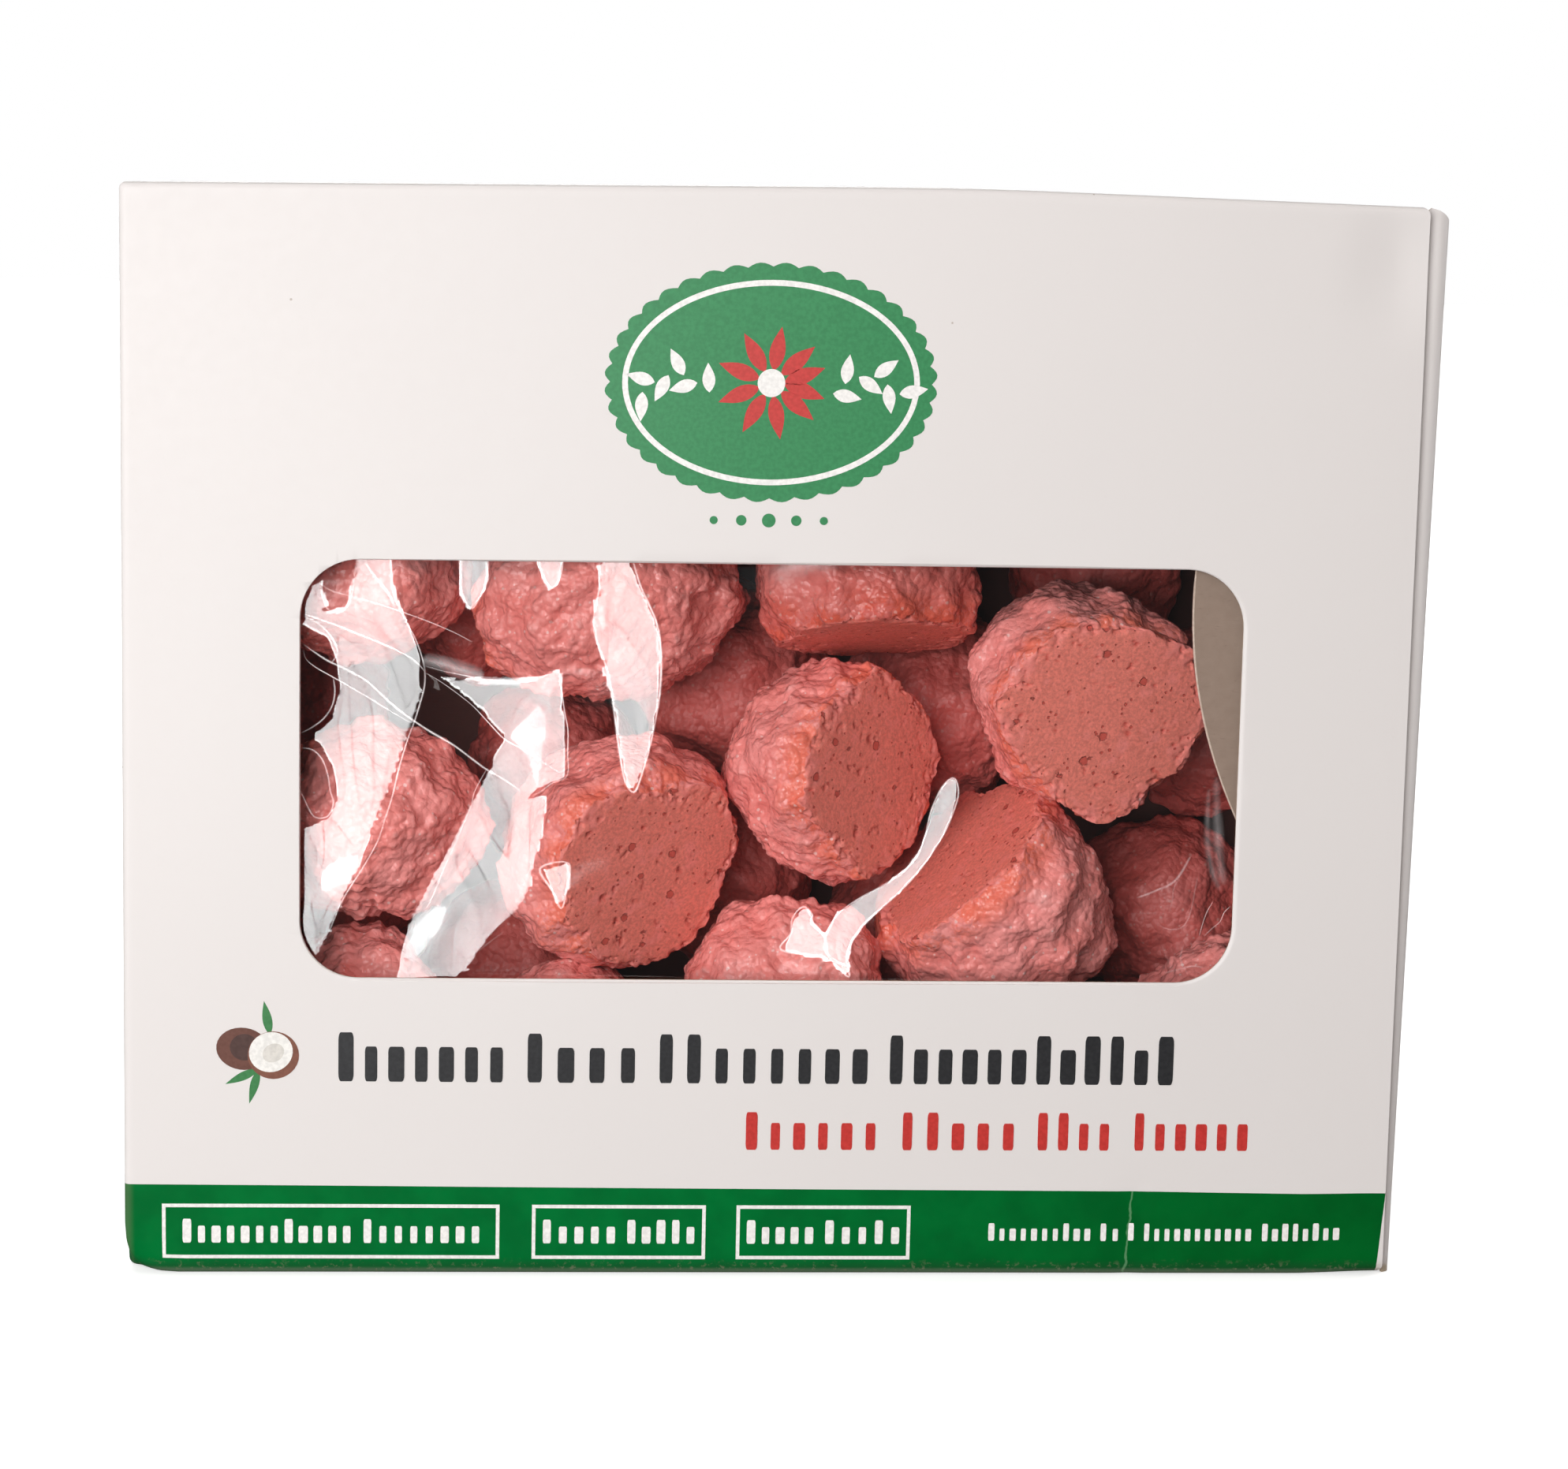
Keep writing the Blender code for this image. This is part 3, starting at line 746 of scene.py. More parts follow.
def path_mesh(name, paths):
    """Bare edges along each path in the XZ plane."""
    mesh = bpy.data.meshes.new(name)
    points = [(x, 0.0, z) for path in paths for x, z in path]
    edges = []
    start = 0
    for path in paths:
        edges += [(start + index, start + index + 1) for index in range(len(path) - 1)]
        start += len(path)
    mesh.from_pydata(points, edges, [])
    return mesh


def moved(outline, x, z, turn=0.0):
    """The outline turned about the origin by so many degrees, then set down at (x, z)."""
    along, across = math.cos(math.radians(turn)), math.sin(math.radians(turn))
    return [(x + u * along - v * across, z + u * across + v * along) for u, v in outline]


def ellipse(width, height, count=48, lobes=0, depth=0.0):
    """An ellipse, or one with a scalloped edge, as (x, z) points."""
    points = []
    for index in range(count):
        angle = 2 * math.pi * index / count
        reach = 1.0 + depth * (abs(math.sin(lobes * angle / 2)) - 1.0) if lobes else 1.0
        points.append((width / 2 * reach * math.cos(angle), height / 2 * reach * math.sin(angle)))
    return points


def leaf(length, width, count=10):
    """A leaf from the origin along +X, pointed at both ends."""
    shares = [index / count for index in range(count + 1)]
    top = [(length * share, width / 2 * math.sin(math.pi * share ** 0.8)) for share in shares]
    return top + [(x, -z) for x, z in reversed(top[1:-1])]


def bar(left, right, low, high):
    return [(left, low), (right, low), (right, high), (left, high)]


def ink_sheet(obj, layer, step=3.0 * MM):
    """Bends a flat print to the front panel and gives it the thickness of its ink, layer by layer."""
    bm = bmesh.new()
    bm.from_mesh(obj.data)
    for axis in (0, 2):
        places = [vert.co[axis] for vert in bm.verts]
        low, high = min(places), max(places)
        for index in range(1, round((high - low) / step)):
            slice_at(bm, axis, low + index * step)
    proud = (0.012 + 0.012 * layer) * MM
    for vert in bm.verts:
        vert.co = front_point(vert.co.x, vert.co.z, proud)
    bmesh.ops.recalc_face_normals(bm, faces=bm.faces)
    if sum(face.normal.y * face.calc_area() for face in bm.faces) > 0:
        bmesh.ops.reverse_faces(bm, faces=bm.faces)
    bm.to_mesh(obj.data)
    bm.free()
    ink = obj.modifiers.new("Ink", "SOLIDIFY")
    ink.thickness = proud + 0.03 * MM
    ink.offset = -1.0
    return baked(obj)


def ink_shader(name, colour, roughness=0.4):
    """Offset ink: a faint mottle of dots, with the board's own fine unevenness."""
    material, tree, shader, place = new_shader(name)
    mottle = noise_at(tree, place, 0.5 * MM, 3.0)
    paler = [min(1.0, channel * 1.18 + 0.006) for channel in colour]
    tone = mix_colours(tree, ramp(tree, mottle, 0.3, 0.7), colour, paler)
    normal = bump(tree, noise_at(tree, place, 2.4 * MM, 2.0), 0.012 * MM, 0.6)
    finish_shader(tree, shader, tone, roughness, normal)
    return material


# Words of the title and the line below it, as runs of plain blocks: (left, right), in mm.
TITLE_RUNS = ((-53.6, -32.7), (-30.0, -16.2), (-13.5, 13.1), (15.6, 52.1))
LINE_RUNS = ((-2.3, 14.4), (17.5, 32.0), (34.8, 44.3), (47.2, 62.1))
FRAMES = ((-75.5, -33.2), (-29.1, -7.1), (-3.2, 19.0))
FRAME_RUNS = ((-73.0, -51.8), (-50.4, -35.6), (-27.8, -18.5), (-17.1, -8.4), (-1.9, 6.7), (8.1, 17.7))
NOTE_RUNS = ((29.0, 42.2), (43.4, 45.8), (47.0, 47.8), (49.0, 63.0), (64.3, 74.4))
# Rows of blocks: piece, ink, runs, height of the row's foot, pitch, then a block's width, its height
# and a tall one's height, in mm.
BLOCK_ROWS = (
    ("title_blocks", "black", TITLE_RUNS, 25.1, 3.1, 2.1, 4.5, 6.3),
    ("line_blocks", "red", LINE_RUNS, 16.5, 2.6, 1.6, 3.5, 4.9),
    ("frame_blocks", "white", FRAME_RUNS, 4.15, 1.8, 1.2, 2.2, 3.1),
    ("note_blocks", "white", NOTE_RUNS, 4.6, 1.3, 0.85, 1.6, 2.3),
)
# The badge's middle on the front panel, and how many petals its flower has.
BADGE_PLACE = (-0.9 * MM, 112.6 * MM)
PETALS = 10
# The frames in the foot band: their lowest and highest level, and the width of their line.
FRAME_LEVELS = (2.1 * MM, 9.2 * MM)
FRAME_LINE = 0.45 * MM


def runs_path(runs, level):
    return [((left * MM, level * MM), (right * MM, level * MM)) for left, right in runs]


# The macaroons.

# Each macaroon: middle of its body from the panels' bottom middle (mm), body radius (mm),
# the way its base faces, how much longer than wide, turn about its own axis (degrees).
AT_WINDOW = (
    ((-51.8, -9.0, 88.8), 13.2, (-0.3, 0.9, 0.3), 1.03, 20),
    ((-19.6, -7.0, 85.4), 15.8, (-0.45, 0.8, -0.35), 1.14, 0),
    ((13.5, -7.4, 86.9), 14.6, (0.04, -0.30, -0.95), 1.02, 10),
    ((41.6, -10.7, 72.4), 15.0, (0.22, -0.95, -0.20), 1.03, 40),
    ((9.5, -7.6, 62.4), 13.9, (0.67, -0.74, 0.04), 1.00, 0),
    ((-18.9, -9.2, 51.9), 14.9, (0.48, -0.82, -0.28), 1.02, 120),
    ((-49.6, -9.2, 55.8), 13.3, (-0.55, 0.80, 0.20), 1.02, 200),
    ((30.4, -6.4, 45.5), 15.75, (-0.68, -0.22, 0.70), 1.03, 160),
    ((3.4, -9.8, 33.0), 12.8, (0.10, 0.85, -0.50), 1.00, 250),
    ((-51.8, -9.5, 29.2), 12.6, (0.20, 0.70, -0.60), 1.03, 300),
    ((-24.2, -9.5, 24.4), 12.6, (-0.20, 0.80, -0.50), 1.02, 330),
    ((62.5, -8.5, 28.4), 12.4, (0.30, 0.80, -0.40), 1.00, 90),
)
BEHIND = (
    ((-62.2, 16.0, 67.6), 12.4, (-0.10, 0.95, 0.10), 1.03, 15),
    ((-36.5, 15.5, 83.5), 12.6, (0.20, 0.95, 0.00), 1.02, 130),
    ((-26.8, 15.8, 58.0), 12.3, (0.00, 1.00, -0.20), 1.00, 45),
    ((-3.0, 15.5, 71.5), 12.6, (-0.15, 0.95, 0.15), 1.04, 210),
    ((-4.0, 15.5, 44.5), 12.2, (0.10, 0.95, 0.20), 1.00, 75),
    ((24.8, 14.5, 67.5), 13.0, (0.15, 0.95, -0.15), 1.03, 280),
    ((46.0, 15.8, 88.5), 12.6, (0.00, 1.00, 0.10), 1.02, 330),
    ((61.5, 15.0, 66.0), 12.5, (0.20, 0.95, 0.10), 1.00, 100),
    ((56.5, 13.6, 40.8), 12.7, (-0.10, 0.95, -0.20), 1.04, 190),
    ((-32.0, 15.0, 30.0), 12.6, (0.10, 0.95, -0.20), 1.02, 240),
    ((-58.0, 15.5, 40.5), 12.4, (-0.10, 1.00, 0.10), 1.00, 60),
    ((20.8, 17.3, 35.6), 11.4, (0.05, 1.00, -0.10), 1.02, 350),
)
# How much painted shade some of them get, by number: three in the top row, as if shaded by the window's top
# edge.
TOP_ROW_SHADE = {1: 0.4, 2: 0.3, 3: 0.9}
FLOOR_RADIUS = 11.8
FLOOR_PLACES = ((-67.0, -11.2), (-40.5, -11.2), (-1.0, -10.2), (25.3, -10.4), (50.0, -10.4),
                (-64.0, 11.2), (-12.0, 12.0), (13.2, 11.6), (40.4, 11.8), (65.5, 11.6))
FLOOR_LIFT = 7.2


def placements():
    """Every macaroon's placement and how many cells its mesh has along a cube side."""
    for placed in AT_WINDOW:
        yield placed, 74
    for placed in BEHIND:
        yield placed, 40
    for index, (x, y) in enumerate(FLOOR_PLACES):
        yield ((x, y, FLOOR_LIFT), FLOOR_RADIUS, (0.0, 0.0, -1.0), 1.0, 36.0 * index), 26


def ball_mesh(cells):
    """A ball of even square faces, from a cube's grid."""
    bm = bmesh.new()
    bmesh.ops.create_cube(bm, size=2.0)
    bmesh.ops.subdivide_edges(bm, edges=bm.edges[:], cuts=cells - 1, use_grid_fill=True)
    for vert in bm.verts:
        vert.co = Vector([math.tan(part * math.pi / 4) for part in vert.co]).normalized()
    return mesh_of(bm, "ball")


def body_points(directions, radius, stretch, seed):
    """The macaroon's lumpy body, as in the frame, on the given directions."""
    shift = Vector((seed * 7.31, seed * 3.17, seed * 5.53))
    points = np.empty((len(directions), 3), np.float32)
    for index, direction in enumerate(directions):
        lump = noise.noise(direction * 1.3 + shift)
        crag = noise.noise(direction * 3.4 + shift * 2.0)
        reach = radius * (1.0 + LUMP_SIZE * 2.0 * lump + CRAG_SIZE * 2.0 * crag)
        rise = DOME_RISE if direction.z > 0 else 1.0
        points[index] = (
            direction.x * reach * stretch, direction.y * reach / stretch, direction.z * reach * rise
        )
    return points


def crust_tree():
    """Roughens a smooth body into a crust of lumps, nodules, beads and grain, and presses its foot flat."""
    tree, names = geometry_tree("Macaroon crust", (
        ("Base Height", "Float"), ("Lump Depth", "Float"), ("Lump Size", "Float"),
        ("Nodule Depth", "Float"), ("Nodule Size", "Float"), ("Bead Depth", "Float"),
        ("Bead Size", "Float"), ("Grain Depth", "Float"), ("Grain Size", "Float"), ("Pit Depth", "Float"),
        ("Pit Size", "Float"), ("Rim Softness", "Float"), ("Seed", "Int"), ("Material", "Material"),
    ))
    given = add_node(tree, "NodeGroupInput").outputs

    def noise_of(place, size, output="Fac", **extra):
        inputs = {"Vector": place, "Scale": maths(tree, "DIVIDE", 1.0, size), **extra}
        return add_node(tree, "ShaderNodeTexNoise", inputs).outputs[output]

    def balls(place, size, smoothness):
        """Rounded bumps, size metres apart, that run into each other."""
        inputs = {"Vector": place, "Scale": maths(tree, "DIVIDE", 1.0, size), "Smoothness": smoothness}
        cells = add_node(tree, "ShaderNodeTexVoronoi", inputs, feature="SMOOTH_F1").outputs["Distance"]
        return maths(tree, "SUBTRACT", 0.42, cells)

    def raised_by(value, depth, mask=1.0):
        """A value from -0.5 to 0.5 as a height, where the mask lets it show."""
        height = maths(tree, "MULTIPLY", value, maths(tree, "MULTIPLY", depth, 2.0))
        return maths(tree, "MULTIPLY", height, mask)

    def remember(geometry, name, value):
        """Keeps a value at each point, for the shader to read by its name."""
        stored = add_node(
            tree, "GeometryNodeStoreNamedAttribute", {"Geometry": geometry, "Name": name, "Value": value},
            data_type="FLOAT", domain="POINT",
        )
        return stored.outputs[0]

    # The crust: lumps, nodules, beads and grain along the surface's normal.
    place = add_node(tree, "GeometryNodeInputPosition").outputs[0]
    place = vector_maths(tree, "ADD", place, scaled(tree, (0.137, 0.291, 0.173), given["Seed"]))
    swirl = noise_of(place, given["Nodule Size"], "Color", Detail=1.0)
    swirl = vector_maths(tree, "SUBTRACT", swirl, (0.5, 0.5, 0.5))
    pull = maths(tree, "MULTIPLY", given["Nodule Size"], 0.40)
    curled = vector_maths(tree, "ADD", place, scaled(tree, swirl, pull))
    lump = maths(tree, "SUBTRACT", noise_of(place, given["Lump Size"]), 0.5)
    elsewhere = vector_maths(tree, "ADD", place, (0.05, 0.02, 0.07))
    rough = ramp(tree, noise_of(elsewhere, given["Lump Size"]), 0.40, 0.62, 0.45, 1.0)
    grain = noise_of(curled, given["Grain Size"], Detail=3.0, Roughness=0.6)
    grain = maths(tree, "SUBTRACT", grain, 0.5)
    nodule = balls(curled, given["Nodule Size"], 0.50)
    bead = balls(curled, given["Bead Size"], 0.15)
    relief = raised_by(lump, given["Lump Depth"])
    relief = maths(tree, "ADD", relief, raised_by(nodule, given["Nodule Depth"], rough))
    relief = maths(tree, "ADD", relief, raised_by(bead, given["Bead Depth"], rough))
    relief = maths(tree, "ADD", relief, raised_by(grain, given["Grain Depth"]))
    normal = add_node(tree, "GeometryNodeInputNormal").outputs[0]
    kept = remember(given["Geometry"], "relief", relief)
    outward = {"Geometry": kept, "Offset": scaled(tree, normal, relief)}
    raised = add_node(tree, "GeometryNodeSetPosition", outward).outputs[0]

    # The foot: all that hangs below the base's height is pressed up to it, with pits and a crumbled rim.
    now = add_node(tree, "GeometryNodeInputPosition").outputs[0]
    x, y, z = split(tree, now)
    above = maths(tree, "SUBTRACT", z, given["Base Height"])
    plane = joined(tree, x, y, maths(tree, "MULTIPLY", given["Seed"], 0.37))
    pit_noise = noise_of(plane, given["Pit Size"], Detail=4.0, Roughness=0.7)
    pits = maths(tree, "MULTIPLY", ramp(tree, pit_noise, 0.60, 0.70), given["Pit Depth"])
    fine = maths(tree, "SUBTRACT", noise_of(plane, given["Grain Size"]), 0.5)
    fine = maths(tree, "MULTIPLY", fine, maths(tree, "MULTIPLY", given["Grain Depth"], 0.5))
    foot = maths(tree, "ADD", given["Base Height"], maths(tree, "ADD", pits, fine))
    ragged = noise_of(plane, given["Bead Size"], Detail=4.0, Roughness=0.65)
    near_rim = ramp(tree, above, -3.2 * MM, -0.2 * MM)
    crumbled = maths(tree, "MULTIPLY", near_rim, ramp(tree, ragged, 0.48, 0.66))
    foot = maths(tree, "MULTIPLY_ADD", crumbled, given["Rim Softness"], foot)
    uneven = ramp(tree, ragged, 0.3, 0.7, 0.2, 1.8, smooth=False)
    softness = maths(tree, "MULTIPLY", given["Rim Softness"], uneven)
    pressed = joined(tree, x, y, maths(tree, "SMOOTH_MAX", z, foot, softness))
    marked = remember(raised, "above_base", above)
    marked = remember(marked, "pit", ramp(tree, pit_noise, 0.60, 0.66))
    seated = add_node(tree, "GeometryNodeSetPosition", {"Geometry": marked, "Position": pressed}).outputs[0]
    smooth = add_node(tree, "GeometryNodeSetShadeSmooth", {"Geometry": seated}).outputs[0]
    close_tree(tree, smooth, given["Material"])
    return tree, names


def pores_at(tree, place, size, share, grain):
    """Ragged round pores: 1 inside one, in about this share of the cells."""
    cell = cells_at(tree, place, size)
    ragged = maths(tree, "MULTIPLY_ADD", grain, 0.30, cell["Distance"])
    draw = add_node(tree, "ShaderNodeSeparateColor", {0: cell["Color"]}).outputs
    reach = maths(tree, "MULTIPLY_ADD", draw[0], 0.16, 0.20)
    hole = ramp(tree, maths(tree, "SUBTRACT", ragged, reach), 0.0, 0.07, 1.0, 0.0)
    return maths(tree, "MULTIPLY", hole, maths(tree, "LESS_THAN", draw[1], share))


def crust_colour(tree, settings, place, above, shred):
    """Moist pink, paler on raised nodules and deeper in hollows as painted highlight and shade, with painted
    glints, and toasted orange-red above the foot.
    """
    relief = attribute(tree, "relief")
    cloud = ramp(tree, noise_at(tree, place, 6 * MM, 3.0), 0.35, 0.65)
    colour = mix_colours(tree, cloud, settings.crust, times(settings.crust, 1.03, 1.22, 1.26))
    # Painted highlight on raised nodules and painted shade in hollows.
    raised = ramp(tree, relief, 0.05 * MM, 0.55 * MM, 0.0, 0.60)
    colour = mix_colours(tree, raised, colour, settings.crust_painted_highlight)
    sunken = ramp(tree, relief, -0.20 * MM, -0.80 * MM, 0.0, 0.34)
    colour = mix_colours(tree, sunken, colour, settings.crust_painted_shade)
    low_down = ramp(tree, above, 5.2 * MM, 0.8 * MM)
    patch = maths(tree, "MULTIPLY_ADD", shred, 0.60, noise_at(tree, place, 4.0 * MM, 4.0, 0.65))
    toast = maths(tree, "MULTIPLY", low_down, ramp(tree, patch, 0.69, 0.86))
    colour = mix_colours(tree, toast, colour, settings.toasted)
    # Painted highlight on the shreds' tips and painted shade between them.
    colour = mix_colours(tree, ramp(tree, shred, 0.60, 0.74, 0.0, 0.55), colour, settings.crust_painted_highlight)
    colour = mix_colours(tree, ramp(tree, shred, 0.40, 0.28, 0.0, 0.25), colour, settings.crust_painted_shade)
    # Painted glints: small pale flecks that stand in for wet highlights, read as coconut crumbs.
    painted_glints = pores_at(tree, place, 1.0 * MM, 0.45, shred)
    return mix_colours(tree, maths(tree, "MULTIPLY", painted_glints, 0.62), colour, (1.0, 0.72, 0.68))


def base_colour(tree, settings, place, above, grain, holes):
    """Finer, duller and browner than the crust, with painted shade in its holes and crust along the rim."""
    darker, paler = times(settings.base, 0.88), times(settings.base, 1.20)
    colour = mix_colours(tree, ramp(tree, grain, 0.35, 0.65), darker, paler)
    mottle = noise_at(tree, place, 3.2 * MM, 4.0, 0.6)
    colour = mix_colours(tree, ramp(tree, mottle, 0.52, 0.70, 0.0, 0.55), colour, settings.crust)
    near_rim = ramp(tree, above, -2.6 * MM, -0.2 * MM)
    rim = maths(tree, "MULTIPLY", near_rim, ramp(tree, mottle, 0.40, 0.58, 0.15, 1.0))
    colour = mix_colours(tree, maths(tree, "MULTIPLY", rim, 0.7), colour, settings.crust)
    # Painted shade in the pores and pits.
    return mix_colours(tree, maths(tree, "MULTIPLY", holes, 0.92), colour, settings.crust_painted_shade)


def macaroon_shader(settings):
    """The crust and the base in one material, deeper in colour, as painted shade, where a macaroon lies
    further back and on the top row.
    """
    material, tree, shader, place = new_shader("coconut_crust")
    above = attribute(tree, "above_base")
    on_base = ramp(tree, above, 0.12 * MM, -0.02 * MM)
    shred = noise_at(tree, vector_maths(tree, "MULTIPLY", place, (1.0, 1.6, 1.0)), 0.55 * MM, 3.0, 0.65)
    grain = noise_at(tree, place, 0.40 * MM, 4.0, 0.7)
    large, small = pores_at(tree, place, 2.6 * MM, 0.47, grain), pores_at(tree, place, 0.9 * MM, 0.45, grain)
    pores = maths(tree, "MAXIMUM", large, small)
    holes = maths(tree, "MAXIMUM", pores, attribute(tree, "pit"))
    crust = crust_colour(tree, settings, place, above, shred)
    base = base_colour(tree, settings, place, above, grain, holes)
    colour = mix_colours(tree, on_base, crust, base)
    # Painted shade on the top row's crust, less on the base.
    top_row_shade_share = maths(tree, "MULTIPLY", attribute(tree, "top_row_shade_tone"), ramp(tree, on_base, 0.0, 1.0, 1.0, 0.3))
    colour = mix_colours(tree, top_row_shade_share, colour, tinted(tree, colour, (0.72, 0.50, 0.46)))
    # Painted shade: deeper and redder where a macaroon lies further back in the carton.
    painted_depth_shade = ramp(tree, split(tree, place)[1], -6.0 * MM, 5.0 * MM)
    colour = tinted(tree, colour, mix_colours(tree, painted_depth_shade, (1.0, 1.0, 1.0), (0.60, 0.34, 0.32)))
    wet = ramp(tree, noise_at(tree, place, 2.2 * MM, 3.0), 0.35, 0.65, 0.10, 0.32)
    wet = maths(tree, "ADD", wet, maths(tree, "MULTIPLY", painted_depth_shade, 0.30))
    roughness = ramp(tree, on_base, 0.0, 1.0, wet, 0.60, smooth=False)
    strength = ramp(tree, on_base, 0.0, 1.0, 0.9, 0.15)
    beads = maths(tree, "MULTIPLY", cells_at(tree, place, 0.85 * MM)["Distance"], -1.0)
    sunk = maths(tree, "MULTIPLY", pores, maths(tree, "MULTIPLY", on_base, -1.0))
    normal = bump(tree, beads, 0.26 * MM, strength)
    normal = bump(tree, shred, 0.07 * MM, strength, normal)
    normal = bump(tree, grain, 0.08 * MM, 0.7, normal)
    normal = bump(tree, sunk, 0.28 * MM, 0.9, normal)
    finish_shader(tree, shader, colour, roughness, normal)
    return material


# The film.

# Where the film is stretched so that it turns to the tall softbox: outlines of (x, z), in mm.
TURNED = (
    ((-51.7, 92.5), (-47.1, 92.5), (-47.3, 88.3), (-46.8, 85.9), (-44.9, 82.0), (-43.3, 77.9),
     (-43.2, 74.1), (-44.8, 69.7), (-47.7, 61.2), (-51.1, 52.2), (-55.3, 42.1), (-57.4, 38.0),
     (-60.2, 38.0), (-60.2, 56.1), (-57.0, 57.6), (-55.0, 58.6), (-54.0, 61.1), (-54.2, 64.6),
     (-56.0, 67.6), (-57.3, 68.5), (-54.7, 70.5), (-53.6, 74.0), (-53.8, 77.9), (-55.1, 80.9),
     (-60.2, 83.6), (-60.2, 86.2), (-55.6, 84.0), (-52.7, 84.4), (-52.0, 86.8)),
    ((-42.9, 76.9), (-38.1, 76.0), (-33.2, 75.4), (-29.3, 76.1), (-26.8, 77.0), (-26.1, 74.3),
     (-25.3, 69.4), (-25.4, 63.9), (-29.6, 61.7), (-31.6, 64.8), (-33.1, 68.8), (-36.1, 72.2),
     (-39.5, 74.7)),
    ((-33.1, 68.0), (-30.3, 63.0), (-29.9, 61.4), (-27.7, 61.6), (-28.1, 57.4), (-29.8, 49.4),
     (-31.4, 46.9), (-34.8, 43.3), (-39.2, 37.4), (-46.6, 37.4), (-44.7, 46.2), (-42.0, 51.3),
     (-38.4, 58.3), (-36.0, 63.3)),
    ((-21.4, 92.5), (-18.3, 92.5), (-16.5, 87.8), (-14.5, 83.4), (-13.9, 79.4), (-14.0, 74.5),
     (-15.0, 68.5), (-16.2, 64.0), (-17.0, 62.2), (-18.1, 63.5), (-18.9, 67.5), (-19.9, 74.4),
     (-20.7, 77.9), (-22.0, 81.3), (-22.3, 83.7), (-21.6, 87.7)),
    ((23.0, 64.4), (23.6, 62.6), (23.0, 60.2), (21.9, 57.4), (20.4, 54.8), (18.6, 52.3), (16.6, 50.0),
     (14.2, 47.7), (12.0, 45.6), (10.6, 43.4), (10.0, 41.2), (10.4, 39.0), (8.6, 40.6), (7.3, 42.4),
     (7.6, 44.6), (9.0, 46.9), (11.6, 48.9), (14.4, 50.6), (16.9, 52.4), (18.7, 54.6), (19.6, 57.2),
     (20.3, 60.2), (21.6, 63.2)),
    ((1.8, 42.1), (3.0, 44.1), (3.2, 46.1), (4.5, 47.6), (5.7, 46.6), (5.5, 45.6), (7.3, 43.8),
     (7.8, 41.6), (10.0, 40.4), (6.8, 41.4)),
    ((-38.6, 92.0), (-35.6, 92.0), (-35.7, 88.0), (-36.7, 85.6), (-37.5, 84.8), (-38.5, 86.5),
     (-38.8, 88.4)),
    ((-29.6, 92.0), (-26.5, 92.0), (-26.4, 89.3), (-27.3, 87.5), (-28.4, 88.6)),
    ((-28.6, 52.4), (-25.0, 53.1), (-25.3, 49.4), (-25.9, 47.4), (-27.0, 49.6)),
    ((-58.6, 83.7), (-58.6, 86.2), (-57.5, 87.3), (-56.1, 87.9), (-56.0, 86.3), (-55.3, 84.7),
     (-56.5, 83.4)),
)
# Inside those, where the bright panel shows.
BRIGHTEST = (
    ((-32.9, 68.7), (-31.7, 70.5), (-30.2, 72.0), (-28.9, 73.3), (-28.1, 73.0), (-27.7, 71.9),
     (-27.6, 69.4), (-28.2, 67.4), (-28.4, 63.9), (-29.1, 62.0), (-30.3, 65.9), (-31.6, 67.6)),
    ((-42.7, 46.6), (-40.0, 47.7), (-39.9, 46.3), (-41.1, 43.7), (-42.7, 41.8), (-44.1, 40.2),
     (-46.0, 40.0), (-45.5, 42.3), (-44.5, 44.5)),
    ((-56.0, 51.7), (-54.0, 53.2), (-51.1, 54.2), (-50.4, 53.0), (-52.0, 50.4), (-54.1, 49.4),
     (-56.0, 48.8), (-56.2, 50.2)),
)
